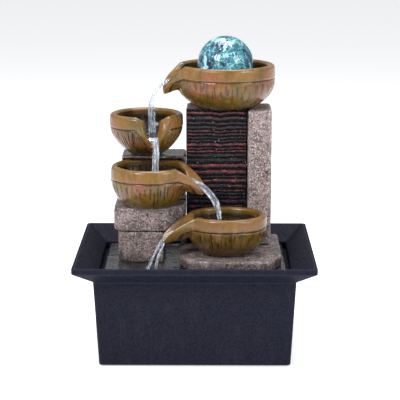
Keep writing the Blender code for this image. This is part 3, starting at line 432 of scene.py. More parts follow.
def slate_rock():
    use = bpy.context.scene.fountain.slate

    def wire(tree, shader):
        crest = mark(tree, "crest")
        broken = cloudy(tree, own_place(tree), 260.0, 6.0, Roughness=0.7)
        patchy = stretched(tree, broken.outputs[0], 0.34, 0.56)
        # The crest mask: the strips' red-brown colour, with a painted highlight on the upper part of
        # each strip
        brushed = times(tree, crest, patchy)
        rust = group(tree, mottle(), First=use.crest, Second=(0.060, 0.045, 0.040), Scale=42.0,
                     Low=0.54, High=0.72)
        flecks = group(tree, grains(), Scale=1300.0)
        tone = mixed(tree, brushed, use.slate, rust["Color"])
        pink = times(tree, sums(tree, "POWER", brushed, 2.6), flecks["Pale"])
        tone = mixed(tree, times(tree, pink, 0.7), tone, (0.62, 0.36, 0.38))
        tone = mixed(tree, times(tree, flecks["Dark"], 0.35), tone, (0.003, 0.003, 0.005))
        height = sums(tree, "ADD", times(tree, flecks["Height"], 0.4), broken.outputs[0])
        raised(tree, shader, height, 0.5 * MM, 0.8)
        gloss = stretched(tree, broken.outputs[0], 0.35, 0.65, 0.16, 0.38)
        return {"Base Color": tone, "Roughness": gloss}
    return finish("Wet slate", wire, Specular_IOR_Level=0.35)


def bowl_glaze():
    use = bpy.context.scene.fountain.bowls

    def wire(tree, shader):
        up = mark(tree, "height")
        rim = mark(tree, "rim")
        inside = mark(tree, "inside")
        carved = mark(tree, "carved")
        tone = group(tree, mottle(), First=use.ochre, Second=use.olive, Scale=48.0,
                     Low=0.44, High=0.66)
        tone = group(tree, mottle(), First=tone["Color"], Second=use.blush, Scale=36.0,
                     Low=0.50, High=0.70)
        streaks = drawn_out(tree, own_place(tree), 0.18)
        wood = cloudy(tree, streaks, 420.0, 4.0)
        lines = stretched(tree, wood.outputs[0], 0.44, 0.70)
        banded = mixed(tree, times(tree, lines, 0.42), tone["Color"], [0.45 * c for c in use.olive])
        # Darker towards the bottom of each bowl
        low = stretched(tree, up, 0.50, 0.0)
        darker_towards_bottom = mixed(tree, times(tree, low, 0.72), banded, [0.6 * c for c in use.olive])
        # Painted sheen: the rim band is made paler to stand for the gloss reflection along it
        painted_rim_sheen = mixed(tree, times(tree, rim, 0.22), darker_towards_bottom, (0.34, 0.17, 0.060))
        # Painted shade: the inner walls and floor are made near black for the shade inside the bowls
        # under the water
        painted_shade_inside = mixed(tree, times(tree, inside, 0.95), painted_rim_sheen, (0.010, 0.0085, 0.004))
        cut = mixed(tree, carved, painted_shade_inside, use.carving)
        scale = group(tree, scale_marks(), Amount=0.22)
        dried = mixed(tree, scale["Mask"], cut, (0.80, 0.70, 0.62))
        uneven = cloudy(tree, own_place(tree), 170.0, 5.0, Roughness=0.6)
        height = sums(tree, "ADD", uneven.outputs[0], times(tree, lines, 0.35))
        raised(tree, shader, height, 0.5 * MM, 0.75)
        gloss = stretched(tree, uneven.outputs[0], 0.35, 0.68, 0.16, 0.42)
        return {"Base Color": dried, "Roughness": gloss}
    return finish("Bowl glaze", wire, Coat_Weight=0.4, Coat_Roughness=0.07, Specular_IOR_Level=0.30)


def crackle_glass():
    use = bpy.context.scene.fountain.ball

    def wire(tree, shader):
        place = own_place(tree)
        swirl = cloudy(tree, place, 55.0, 3.0, Distortion=1.6)
        streak = drawn_out(tree, place, 0.38)
        moved = add(tree, "ShaderNodeVectorMath", {0: swirl.outputs["Color"]}, operation="SCALE")
        moved.inputs["Scale"].default_value = 0.016
        at = add(tree, "ShaderNodeVectorMath", {0: streak, 1: moved.outputs[0]}, operation="ADD")
        cracks = celled(tree, at.outputs[0], 230.0, feature="DISTANCE_TO_EDGE")
        cells = celled(tree, at.outputs[0], 230.0)
        pick = add(tree, "ShaderNodeSeparateColor", {0: cells.outputs["Color"]})
        vein = stretched(tree, cracks.outputs["Distance"], 0.085, 0.0)
        veins = times(tree, vein, stretched(tree, swirl.outputs[0], 0.42, 0.62))
        tone = mixed(tree, stretched(tree, swirl.outputs[0], 0.36, 0.60), use.deep, use.teal)
        tone = mixed(tree, times(tree, stretched(tree, pick.outputs[0], 0.55, 1.0), 0.75), tone,
                     (0.045, 0.36, 0.42))
        tone = mixed(tree, stretched(tree, pick.outputs[1], 0.86, 0.97), tone, use.glint)
        tone = mixed(tree, veins, tone, use.glint)
        height = sums(tree, "ADD", cracks.outputs["Distance"], pick.outputs[2])
        raised(tree, shader, height, 1.2 * MM, 0.7)
        return {"Base Color": tone, "Emission Color": tone}
    return finish("Crackle glass", wire, Roughness=0.12, Emission_Strength=use.glow,
                  Coat_Weight=0.6, Coat_Roughness=0.03)


def ball_shell():
    def wire(tree, shader):
        place = own_place(tree)
        waves = cloudy(tree, place, 90.0, 1.0)
        raised(tree, shader, waves.outputs[0], 0.5 * MM, 0.35)
        return {"Base Color": (0.86, 0.97, 1.0)}
    return finish("Ball glass", wire, Roughness=0.015, Transmission_Weight=1.0, IOR=1.45)


def water():
    use = bpy.context.scene.fountain.water

    def wire(tree, shader):
        place = own_place(tree)
        waves = cloudy(tree, place, 260.0, 2.0)
        raised(tree, shader, waves.outputs[0], 0.6 * MM, 0.5)
        return {"Base Color": use.tint}
    return finish("Water", wire, Roughness=0.01, Transmission_Weight=1.0, IOR=1.333)


def falling_water():
    def wire(tree, shader):
        foam = mark(tree, "foam")
        place = own_place(tree)
        squeeze = drawn_out(tree, place, 0.22)
        threads = cloudy(tree, squeeze, 700.0, 3.0)
        raised(tree, shader, threads.outputs[0], 0.8 * MM, 0.8)
        # Painted glow: the thicker threads emit light, though falling water is no lamp
        painted_glow = times(tree, foam, stretched(tree, threads.outputs[0], 0.40, 0.62))
        return {"Base Color": mixed(tree, foam, (0.80, 0.88, 1.0), (1.0, 1.0, 1.0)),
                "Emission Color": mixed(tree, painted_glow, (0.0, 0.0, 0.0), (0.80, 0.88, 1.0))}
    # The emission is a painted glow on the falling water
    return finish("Falling water", wire, Roughness=0.03, Transmission_Weight=0.9, IOR=1.333,
                  Emission_Strength=0.55)


def moulded(name, scale, amount, tone, dried, height, rough, stained_gloss=False, **values):
    """Moulded plastic or rubber, with the marks of dried water."""
    def wire(tree, shader):
        grain = group(tree, moulded_grain(), Scale=scale)
        marks = group(tree, scale_marks(), Amount=amount)
        raised(tree, shader, grain["Height"], height)
        mask = marks["Mask"] if stained_gloss else grain["Mask"]
        return {"Base Color": mixed(tree, marks["Mask"], tone, dried),
                "Roughness": stretched(tree, mask, 0, 1, *rough)}
    return finish(name, wire, **values)


def black_plastic():
    return moulded("Black plastic", 2400.0, 0.22, (0.018, 0.019, 0.021), (0.30, 0.30, 0.29),
                   0.05 * MM, (0.34, 0.5))


def rubber():
    return moulded("Rubber", 1500.0, 0.28, (0.014, 0.014, 0.015), (0.16, 0.15, 0.14),
                   0.08 * MM, (0.86, 0.66))


def clear_plastic():
    return moulded("Clear plastic", 900.0, 0.5, (0.86, 0.93, 0.95), (0.62, 0.66, 0.66),
                   0.04 * MM, (0.12, 0.5), True, Transmission_Weight=0.8, IOR=1.49)


def filter_foam():
    def wire(tree, shader):
        place = own_place(tree)
        pores = celled(tree, place, 1100.0)
        deep = stretched(tree, pores.outputs["Distance"], 0.1, 0.6)
        raised(tree, shader, deep, 0.9 * MM)
        return {"Base Color": mixed(tree, deep, (0.006, 0.007, 0.008), (0.055, 0.06, 0.066))}
    return finish("Filter foam", wire, Roughness=0.95)


def pale_moulding(name, tone, rough):
    return moulded(name, 2000.0, 0.4, tone, (0.50, 0.47, 0.40), 0.04 * MM, (rough, rough + 0.12))


def screw_steel():
    def wire(tree, shader):
        place = own_place(tree)
        turned = cloudy(tree, place, 900.0, 4.0)
        marks = group(tree, scale_marks(), Amount=0.5)
        raised(tree, shader, turned.outputs[0], 0.05 * MM)
        return {"Base Color": mixed(tree, marks["Mask"], (0.56, 0.56, 0.55), (0.36, 0.27, 0.20)),
                "Roughness": stretched(tree, turned.outputs[0], 0.3, 0.7, 0.22, 0.42)}
    return finish("Screw steel", wire, Metallic=1.0)


# ---- Making meshes ----


def settle(thing, body, slot, material, *replaced):
    """The piece takes its finish, rides on its body and stands for the nodes it replaces."""
    thing.data.materials.clear()
    thing.data.materials.append(material)
    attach(thing, body)
    if replaced:
        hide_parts(*replaced)
    return thing


def coat(material, *nodes):
    """A better finish for frame nodes that keep their own shape."""
    for name in nodes:
        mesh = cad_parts[name].data
        mesh.materials.clear()
        mesh.materials.append(material)


def placed(name, mesh):
    made = bpy.data.objects.new(name, mesh)
    bpy.context.scene.collection.objects.link(made)
    return made


def smoothed(mesh, smooth=True):
    mesh.polygons.foreach_set("use_smooth", [smooth] * len(mesh.polygons))


def thing_of(name, points, faces, marks=None, smooth=True):
    mesh = bpy.data.meshes.new(name)
    mesh.from_pydata(points, [], faces)
    mesh.validate()
    for label, values in (marks or {}).items():
        mesh.attributes.new(label, "FLOAT", "POINT").data.foreach_set("value", values)
    smoothed(mesh, smooth)
    return placed(name, mesh)


def shaped(name, shape, smooth=True):
    """An object made from a finished bmesh, which it frees."""
    mesh = bpy.data.meshes.new(name)
    shape.to_mesh(mesh)
    shape.free()
    smoothed(mesh, smooth)
    return placed(name, mesh)


def face_out(thing):
    """Faces all turned outwards."""
    shape = bmesh.new()
    shape.from_mesh(thing.data)
    bmesh.ops.recalc_face_normals(shape, faces=shape.faces)
    if shape.calc_volume(signed=True) < 0:
        bmesh.ops.reverse_faces(shape, faces=shape.faces)
    shape.to_mesh(thing.data)
    shape.free()
    return thing


def skin(rings, closed=False):
    """Faces between rings of equal count, with a fan at each end, or joined end to end."""
    count = len(rings[0])
    points = [p for ring in rings for p in ring]
    faces = []
    last = len(rings) if closed else len(rings) - 1
    for i in range(last):
        a, b = i * count, (i + 1) % len(rings) * count
        faces += [(a + j, a + (j + 1) % count, b + (j + 1) % count, b + j) for j in range(count)]
    if not closed:
        for start, ring in ((0, rings[0]), ((len(rings) - 1) * count, rings[-1])):
            middle = sum((Vector(p) for p in ring), Vector()) / count
            points.append(tuple(middle))
            hub = len(points) - 1
            faces += [(start + j, start + (j + 1) % count, hub) for j in range(count)]
    return points, faces


def applied(thing):
    """The thing with its modifiers made part of its mesh."""
    graph = bpy.context.evaluated_depsgraph_get()
    mesh = bpy.data.meshes.new_from_object(thing.evaluated_get(graph))
    thing.modifiers.clear()
    old, thing.data = thing.data, mesh
    bpy.data.meshes.remove(old)
    return thing


def smooth_line(points, steps):
    """Evenly spread points on a smooth curve through the given ones."""
    points = [Vector(p) for p in points]
    spans = [(b - a).length for a, b in zip(points, points[1:])]
    slopes = []
    for i in range(len(points)):
        if i == 0:
            slopes.append((points[1] - points[0]) / spans[0])
        elif i == len(spans):
            slopes.append((points[i] - points[i - 1]) / spans[i - 1])
        else:
            before = (points[i] - points[i - 1]) / spans[i - 1]
            slopes.append((before + (points[i + 1] - points[i]) / spans[i]) / 2)
    total = sum(spans)
    made = []
    for k in range(steps):
        along = total * k / (steps - 1)
        i = 0
        while i < len(spans) - 1 and along > spans[i]:
            along -= spans[i]
            i += 1
        h = spans[i]
        t = min(along / h, 1.0)
        made.append((2 * t**3 - 3 * t**2 + 1) * points[i] + (t**3 - 2 * t**2 + t) * h * slopes[i]
                    + (3 * t**2 - 2 * t**3) * points[i + 1] + (t**3 - t**2) * h * slopes[i + 1])
    return made


def rough(place, size, seed=0.0):
    """Smooth noise from -1 to 1 whose features are about that size."""
    return noise.noise(Vector(place) / size + Vector((seed, 1.7 * seed, -seed)))


def weathered(node, name, cell, depth, passes=5):
    """A worn copy of a frame node: its faces dip, its edges are rounded and chipped."""
    thing = placed(name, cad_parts[node].data.copy())
    remesh = thing.modifiers.new("cells", "REMESH")
    remesh.mode = "VOXEL"
    remesh.voxel_size = cell
    applied(thing)
    before = [v.co.copy() for v in thing.data.vertices]
    relax = thing.modifiers.new("relax", "SMOOTH")
    relax.factor = 0.6
    relax.iterations = passes
    applied(thing)
    mesh = thing.data
    seed = len(name) * 3.1
    worn, moved = [], []
    relaxed = [(v.co.copy(), v.normal.copy()) for v in mesh.vertices]
    for (now, normal), was in zip(relaxed, before):
        pulled = (was - now).dot(normal)
        edge = min(max(pulled / (0.45 * cell), 0.0), 1.0)
        dip = 0.5 + 0.35 * rough(was, 11 * MM, seed) + 0.25 * rough(was, 3.6 * MM, seed)
        chip = max(rough(was, 4.5 * MM, seed + 9) - 0.12, 0.0) * edge * 1.9
        moved.extend(now - normal * depth * (max(dip, 0.0) + chip))
        # The edge mask, which the stone finish paints with a highlight
        worn.append(edge * (0.75 + 0.5 * rough(was, 2.2 * MM, seed)))
    mesh.vertices.foreach_set("co", moved)
    mesh.attributes.new("worn", "FLOAT", "POINT").data.foreach_set("value", worn)
    smoothed(mesh)
    return thing


# ---- Basin ----


def rounded_ring(half_x, half_y, radius, z, arc=7, sides=(18, 14)):
    """Points of a rounded rectangle at a height, with points along its straight sides too."""
    points = []
    corners = [(1, -1, -90), (1, 1, 0), (-1, 1, 90), (-1, -1, 180)]
    for n, (sx, sy, start) in enumerate(corners):
        centre = Vector((sx * (half_x - radius), sy * (half_y - radius)))
        for i in range(arc + 1):
            angle = math.radians(start + 90 * i / arc)
            points.append(centre + radius * Vector((math.cos(angle), math.sin(angle))))
        sx2, sy2, start2 = corners[(n + 1) % 4]
        end = Vector((sx2 * (half_x - radius), sy2 * (half_y - radius)))
        angle = math.radians(start2)
        end += radius * Vector((math.cos(angle), math.sin(angle)))
        count = sides[1] if n % 2 == 0 else sides[0]
        first = points[-1]
        points += [first.lerp(end, k / count) for k in range(1, count)]
    return [(p.x, p.y, z) for p in points]


def round_profile(profile, radius):
    """The profile of (inset, height) corners, each corner rounded in three points."""
    made = [profile[0]]
    for a, b, c in zip(profile, profile[1:], profile[2:]):
        a, b, c = Vector(a), Vector(b), Vector(c)
        reach = min(radius, (a - b).length * 0.45, (c - b).length * 0.45)
        start, end = b + (a - b).normalized() * reach, b + (c - b).normalized() * reach
        made += [tuple(start), tuple((start + end) / 4 + b / 2), tuple(end)]
    return [*made, profile[-1]]


def make_basin():
    use = bpy.context.scene.fountain.basin
    low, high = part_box("basin")
    half_x, half_y = high.x, high.y
    top, base = high.z, low.z
    flare, taper, wall, thick = 17 * MM, 4 * MM, 3 * MM, 3 * MM
    lip_z, body_z, ledge_z = top - 5 * MM, top - 16.5 * MM, top - 20.5 * MM
    mouth, ledge = 19.7 * MM, 26.2 * MM

    def side(z):
        return flare + taper * (body_z - z) / (body_z - base)

    under = ledge_z - 3.5 * MM
    profile = [(0.5 * half_y, base), (flare + taper, base), (flare, body_z), (0, lip_z), (0, top),
               (2.4 * MM, top), (mouth, body_z + 3 * MM), (mouth, ledge_z), (ledge, ledge_z),
               (ledge, under), (side(under) + wall, under - 5.5 * MM),
               (side(base + thick) + wall, base + thick), (0.5 * half_y, base + thick)]
    rings, wear = [], []
    rounded = round_profile(profile, use.rounding)
    for inset, z in rounded:
        corner = min(3.5 * MM, half_y - inset - MM)
        rings.append(rounded_ring(half_x - inset, half_y - inset, corner, z))
    # The sharp corners of the profile carry the painted edge highlight of the basin finish
    sharp = {(0, lip_z), (0, top), (2.4 * MM, top), (flare, body_z), (mouth, body_z + 3 * MM)}
    for inset, z in rounded:
        near = min(math.hypot(inset - i, z - h) for i, h in sharp)
        wear += [1.0 if near < 0.9 * use.rounding else 0.0] * len(rings[0])
    points, faces = skin(rings)
    basin = face_out(thing_of("basin_moulding", points, faces, {"worn": wear + [0.0, 0.0]}))

    feet = ("front_left_foot", "front_right_foot", "rear_left_foot", "rear_right_foot")
    for name in feet:
        foot_low, foot_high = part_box(name)
        cut_round(basin, (foot_low + foot_high) / 2, (foot_high.x - foot_low.x) / 2 + FOOT_GAP,
                  -4 * MM, foot_high.z + 0.3 * MM, "Z")
    inlet_low, inlet_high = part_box("power_inlet")
    middle = (inlet_low + inlet_high) / 2
    cut_round(basin, middle, INLET_HOLE_R, middle.y - 12 * MM, middle.y + 12 * MM, "Y")
    applied(basin)
    shading = basin.modifiers.new("facets", "WEIGHTED_NORMAL")
    shading.keep_sharp = True
    settle(basin, "basin", "basin_plastic", basin_plastic(), "basin")

    coat(rubber(), *feet)
    coat(black_plastic(), "power_inlet", "inlet_nut")


def cut_round(thing, middle, radius, start, end, axis):
    """A round hole along Z or Y between two positions."""
    shape = bmesh.new()
    turn = Matrix.Rotation(math.pi / 2, 4, "X") if axis == "Y" else Matrix.Identity(4)
    bmesh.ops.create_cone(shape, cap_ends=True, segments=48, radius1=radius, radius2=radius,
                          depth=end - start, matrix=turn)
    cutter = shaped("hole", shape, smooth=False)
    mesh = cutter.data
    along = (start + end) / 2
    cutter.location = (middle.x, along, middle.z) if axis == "Y" else (middle.x, middle.y, along)
    cut = thing.modifiers.new("hole", "BOOLEAN")
    cut.operation, cut.solver, cut.object = "DIFFERENCE", "EXACT", cutter
    bpy.context.view_layer.update()
    applied(thing)
    bpy.data.objects.remove(cutter)
    bpy.data.meshes.remove(mesh)


def backed_sheet(points, columns, rows, back, hub):
    """Faces of a grid of points, closed by walls round its edge to a flat back."""
    width = columns + 1
    faces = [(r * width + c, r * width + c + 1, (r + 1) * width + c + 1, (r + 1) * width + c)
             for r in range(rows) for c in range(columns)]
    edge = [*range(width), *[r * width + columns for r in range(1, rows + 1)],
            *[rows * width + c for c in range(columns - 1, -1, -1)],
            *[r * width for r in range(rows - 1, 0, -1)]]
    start, count = len(points), len(edge)
    points += [back(*points[k]) for k in edge]
    points.append(hub)
    for k in range(count):
        after = (k + 1) % count
        faces.append((edge[k], start + k, start + after, edge[after]))
    faces += [(start + k, len(points) - 1, start + (k + 1) % count) for k in range(count)]
    return faces


# ---- Stonework and slate ----


def make_stonework():
    use = bpy.context.scene.fountain.stone
    stone, wet = cast_stone(), wet_and_shaded_stone()
    for node, name, cell, depth, passes, material in (
            ("right_slab", "right_slab_stone", use.cell, use.wear, 5, stone),
            ("left_lower_block", "left_lower_stone", use.cell, use.wear, 5, stone),
            ("left_upper_block", "left_upper_stone", use.cell, use.wear, 5, stone),
            # The rear column takes the darker stone as painted shade
            ("rear_left_column", "rear_left_stone", use.cell, use.wear, 5, wet),
            ("right_pillar", "right_pillar_stone", use.cell, use.wear, 5, stone),
            ("tower_core", "tower_core_stone", 1.3 * use.cell, 0.6 * use.wear, 5, stone),
            ("rear_cover", "rear_cover_stone", use.cell, 0.4 * use.wear, 5, stone),
            ("base_plate", "base_plate_stone", 1.35 * use.cell, 0.5 * use.wear, 3, wet)):
        thing = weathered(node, name, cell, depth, passes)
        settle(thing, "rockery", "cast_stone", material, node)
    coat(screw_steel(), *[f"rear_cover_screw_{i}" for i in range(1, 5)])


def make_slate():
    """Thin strips of stacked slate, each with its own stand, slope and broken front edge."""
    use = bpy.context.scene.fountain.slate
    low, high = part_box("slate_panel")
    low, high = low + Vector((0.1, 0.15, 0.1)) * MM, high - Vector((0.1, 0.1, 0.1)) * MM
    pick = random.Random(11)
    bounds = [low.z - 2 * MM]
    while bounds[-1] < high.z + 2 * MM:
        bounds.append(bounds[-1] + use.strip * pick.uniform(0.62, 1.4))
    stands = [pick.uniform(0.0, 0.75) for _ in bounds]
    columns, rows = 150, 470
    points, crest = [], []
    for row in range(rows + 1):
        z = low.z + (high.z - low.z) * row / rows
        for column in range(columns + 1):
            x = low.x + (high.x - low.x) * column / columns
            at = Vector((x, 0, z))
            bent = z + 1.25 * MM * rough((x, 0, 0.3 * z), 15 * MM)
            bent += 0.4 * MM * rough((x, 0, z), 4 * MM)
            i = 0
            while i < len(bounds) - 2 and bent > bounds[i + 1]:
                i += 1
            t = (bent - bounds[i]) / (bounds[i + 1] - bounds[i])
            breaks = rough((x, 5.1 * i * MM * 7, 0), 6.5 * MM, i)
            step = math.floor(3 * (0.5 + 0.5 * rough((x, 0, i * 0.09), 11 * MM, 2 * i))) / 3
            stand = stands[i] * 0.75 + 0.45 * step + 0.35 * breaks
            round_off = 1 - abs(2 * min(max(t, 0), 1) - 1) ** 3.2
            lean = 1 - 0.28 * (1 - t)
            out = min(max(round_off * lean * (1.05 - 0.55 * (1 - min(max(stand, 0), 1))), 0.0), 1.0)
            out += 0.07 * rough(at, 1.6 * MM) + 0.05 * rough(at, 0.8 * MM)
            out = min(max(out, 0.0), 1.0)
            edge = min(x - low.x, high.x - x, z - low.z, high.z - z) / MM
            out *= min(1.0, 0.55 + edge / 1.5)
            points.append((x, low.y + use.relief * (1 - out), z))
            # Painted highlight: the crest colour grows on the upper part of each strip, where the
            # light from above falls
            top_lit_share = min(max((t - 0.45) / 0.4, 0), 1)
            crest.append(min(max((out - 0.55) / 0.3, 0), 1) * (0.35 + 0.65 * top_lit_share))
    hub = ((low.x + high.x) / 2, high.y, (low.z + high.z) / 2)
    faces = backed_sheet(points, columns, rows, lambda x, _, z: (x, high.y, z), hub)
    crest += [0.0] * (len(points) - len(crest))
    panel = face_out(thing_of("slate_strips", points, faces, {"crest": crest}))
    settle(panel, "rockery", "slate", slate_rock(), "slate_panel")


# ---- Bowls ----


@dataclass
class Bowl:
    """The sizes that turn one profile into a bowl with a spout or a notch."""
    node: str
    centre: tuple
    foot_r: float
    belly_r: float
    belly_height: float
    rim_r: float
    height: float
    spout_angle: float
    spout_width: float
    reach: float
    fall: float
    crest: float
    crest_span: tuple
    cut: float
    cut_span: tuple
    root: float = 0.6
    hold: float = 0.0
    depth_ratio: float = 1.0
    fullness: float = 0.65
    wall: float = 6.2 * MM
    floor: float = 7 * MM

    @cached_property
    def foot_z(self):
        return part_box(self.node)[0].z

    @property
    def belly_z(self):
        return self.foot_z + self.belly_height

    @property
    def rim_z(self):
        return self.foot_z + self.height

    @property
    def floor_z(self):
        return self.foot_z + self.floor


BOWLS = {
    "top_bowl": Bowl("top_bowl", (27 * MM, 38 * MM), 24 * MM, 45 * MM, 23 * MM, 44.5 * MM,
                     38.8 * MM, math.radians(188), math.radians(18), 12 * MM, 13 * MM, 9 * MM,
                     (0.2, 0.85),
                     9 * MM, (0.2, 0.85), 0.55, 0.35),
    "notched_bowl": Bowl("notched_bowl", (-45 * MM, 36 * MM), 14 * MM, 33.5 * MM, 27 * MM, 33 * MM,
                         37.4 * MM, math.radians(-76), math.radians(24), 2 * MM, 0, 21 * MM,
                         (0.2, 0.75), 25 * MM, (0.05, 1.3), fullness=0.78),
    "middle_bowl": Bowl("middle_bowl", (-41 * MM, 4 * MM), 21 * MM, 35.3 * MM, 25 * MM, 34 * MM,
                        36.7 * MM, math.radians(-14), math.radians(22), 15 * MM, 12.5 * MM, 8 * MM,
                        (0.2, 0.9), 8 * MM, (0.2, 0.9), 0.5, 0.3),
    "lower_bowl": Bowl("lower_bowl", (28 * MM, -12 * MM), 19 * MM, 36 * MM, 25 * MM, 35 * MM,
                       36 * MM, math.radians(196), math.radians(17), 23 * MM, 13 * MM, 7 * MM,
                       (0.25, 0.85),
                       7 * MM, (0.25, 0.85), 0.6, 0, 0.84),
}
WATER_LEVEL = {"top_bowl": 243.2 * MM, "notched_bowl": 190.0 * MM, "middle_bowl": 155.6 * MM,
               "lower_bowl": 119.5 * MM}


def ramp(value, start, end):
    t = min(max((value - start) / (end - start), 0.0), 1.0)
    return t * t * (3 - 2 * t)


def mix(a, b, share):
    return a + (b - a) * share


def outer_radius(bowl, z):
    if z < bowl.belly_z:
        t = max((z - bowl.foot_z) / bowl.belly_height, 0)
        swell = math.sin(math.pi / 2 * t) ** bowl.fullness
        return bowl.foot_r + (bowl.belly_r - bowl.foot_r) * swell
    t = (z - bowl.belly_z) / (bowl.height - bowl.belly_height)
    return bowl.belly_r - (bowl.belly_r - bowl.rim_r) * (1 - math.cos(math.pi / 2 * t))


def inner_radius(bowl, z):
    floor_r = 0.5 * bowl.foot_r
    if z < bowl.belly_z:
        t = max((z - bowl.floor_z) / (bowl.belly_z - bowl.floor_z), 0)
        return floor_r + (bowl.belly_r - bowl.wall - floor_r) * math.sin(math.pi / 2 * t) ** 0.7
    return outer_radius(bowl, z) - bowl.wall


def bowl_profile(bowl, offset, outer, turns, inner):
    """Points of one upright slice, from the foot over the lip to the floor, as
    (part, radius, height, reach, drop below the lip)."""
    lip = bowl.wall / 2
    near = abs(offset) / bowl.spout_width
    pull = 1 - ramp(near, 0.55, 1.35)
    outer_top = bowl.rim_z - lip - bowl.cut * (1 - ramp(near, *bowl.cut_span))
    inner_top = bowl.rim_z - lip - bowl.crest * (1 - ramp(near, *bowl.crest_span))
    made = []
    for i in range(outer + 1):
        share = (i / outer) ** 1.15
        z = mix(bowl.foot_z, outer_top, share)
        go = pull * ramp(share, bowl.root, 1)
        made.append(("outer", outer_radius(bowl, z), z - bowl.fall * go, bowl.reach * go,
                     outer_top - z, share))
    for i in range(1, turns):
        turn = i / turns
        across = (1 - math.cos(math.pi * turn)) / 2
        r = mix(outer_radius(bowl, outer_top), inner_radius(bowl, inner_top), across)
        z = mix(outer_top, inner_top, turn) + lip * math.sin(math.pi * turn)
        go = pull * (1 - turn + turn * bowl.hold)
        made.append(("lip", r, z - bowl.fall * go, bowl.reach * go, 0.0, 1.0))
    for i in range(inner, -1, -1):
        share = i / inner
        z = mix(bowl.floor_z, inner_top, share)
        go = pull * bowl.hold * ramp(share, 0.3, 1)
        made.append(("inner", inner_radius(bowl, z), z - bowl.fall * go, bowl.reach * go,
                     inner_top - z, share))
    return made


def bowl_point(bowl, angle, r, z, reach):
    x = r * math.cos(angle) + reach * math.cos(bowl.spout_angle)
    y = bowl.depth_ratio * (r * math.sin(angle) + reach * math.sin(bowl.spout_angle))
    return (bowl.centre[0] + x, bowl.centre[1] + y, z)


def carved_strokes(bowl, gap, pick):
    """Short upright strokes cut below the groove: angle, start, length, lean, half width, depth."""
    strokes = []
    angle = -math.pi
    while angle < math.pi:
        angle += gap / bowl.belly_r * pick.uniform(0.35, 1.75)
        start = pick.choice((0.6, 1.2, 1.8, 4.0, 7.5)) * MM + pick.uniform(0, 2) * MM
        run = pick.uniform(5, 19) * MM
        strokes.append((angle, start, run, pick.uniform(-0.02, 0.02), pick.uniform(0.30, 0.62) * MM,
                        pick.uniform(0.45, 1.0)))
    return strokes


def make_bowl(bowl, seed):
    use = bpy.context.scene.fountain.bowls
    pick = random.Random(seed)
    strokes = carved_strokes(bowl, use.stroke_gap, pick)
    samples, outer, turns, inner = 400, 74, 14, 30
    columns = []
    marks = {"carved": [], "rim": [], "inside": [], "height": []}
    for k in range(samples):
        even = 2 * math.pi * k / samples - math.pi
        offset = even - 0.45 * math.sin(even)
        angle = bowl.spout_angle + offset
        near = abs(offset) / bowl.spout_width
        mine = [s for s in strokes if abs(s[0] - offset) < 0.09]
        column = []
        wander = 0.5 * MM * rough((math.cos(angle), math.sin(angle), seed), 0.28)
        line = use.groove_drop * (1 - 0.35 * (1 - ramp(near, 0.2, 1.2))) + wander
        for part, r, z, reach, under, share in bowl_profile(bowl, offset, outer, turns, inner):
            at = Vector(bowl_point(bowl, angle, r, z, reach))
            wave = 0.22 * MM * rough(at, 14 * MM, seed) + 0.10 * MM * rough(at, 4 * MM, seed)
            out = wave - 0.25 * MM
            if part == "outer":
                band = 1 - ramp(under, line - 0.8 * MM, line + 0.4 * MM)
                groove = math.exp(-((under - line) / (0.62 * MM)) ** 2)
                groove *= 0.75 + 0.35 * rough((angle, under / MM * 0.02, seed), 0.22)
                for a0, start, run, lean, half, deep in mine:
                    along = (under - line - start) / run
                    if not -0.1 < along < 1.1:
                        continue
                    bend = 0.16 * math.sin(4 * along + a0 * 7)
                    across = ((offset - a0 - lean * along) * bowl.belly_r - bend * MM) / half
                    taper = ramp(along, -0.1, 0.12) * (1 - ramp(along, 0.6, 1.1))
                    groove = max(groove, deep * taper * math.exp(-across * across))
                fade = 1 - ramp(share, 0.97, 1.0) if near < 1 else 1.0
                groove *= fade * ramp(share, 0.04, 0.14)
                out += 0.30 * MM * band - use.carve_depth * groove
                carved = min(1.0, 1.9 * groove)
                masks = (carved, band, 0.0, share)
            elif part == "lip":
                out += 0.30 * MM * (1 - (len(column) - outer) / turns)
                masks = (0.0, 1.0, 0.0, 1.0)
            else:
                # The inside mask carries the painted shade of the bowl glaze
                masks = (0.0, ramp(share, 0.88, 1.0), 1 - ramp(share, 0.84, 1.0), 1.0)
                out = -out
            for values, value in zip(marks.values(), masks):
                values.append(value)
            column.append(bowl_point(bowl, angle, r + out, z, reach))
        columns.append(column)
    size = len(columns[0])
    points = [p for column in columns for p in column]
    faces = []
    for k in range(samples):
        a, b = k * size, (k + 1) % samples * size
        faces += [(a + j, b + j, b + j + 1, a + j + 1) for j in range(size - 1)]
    for j, z in ((0, bowl.foot_z), (size - 1, bowl.floor_z)):
        points.append((*bowl.centre, z))
        hub = len(points) - 1
        faces += [(k * size + j, (k + 1) % samples * size + j, hub) for k in range(samples)]
        for label, value in (("carved", 0), ("rim", 0), ("inside", float(j > 0)), ("height", 0)):
            marks[label].append(value)
    return face_out(thing_of(bowl.node + "_glazed", points, faces, marks))


def make_bowls():
    glaze = bowl_glaze()
    for seed, bowl in enumerate(BOWLS.values(), 3):
        made = make_bowl(bowl, seed)
        if bowl.node == "top_bowl":
            nozzle_low, nozzle_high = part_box("nozzle")
            middle = (nozzle_low + nozzle_high) / 2
            under, above = bowl.foot_z - 9 * MM, bowl.foot_z + 20 * MM
            cut_round(made, middle, NOZZLE_HOLE_R, under, above, "Z")
            hole = Vector((bowl.centre[0] - LEAD_OFFSET, bowl.centre[1] + LEAD_OFFSET, 0))
            cut_round(made, hole, LEAD_HOLE_R, under, above, "Z")
        settle(made, "rockery", "ochre_glaze", glaze, bowl.node)


# ---- Ball, light and pump ----


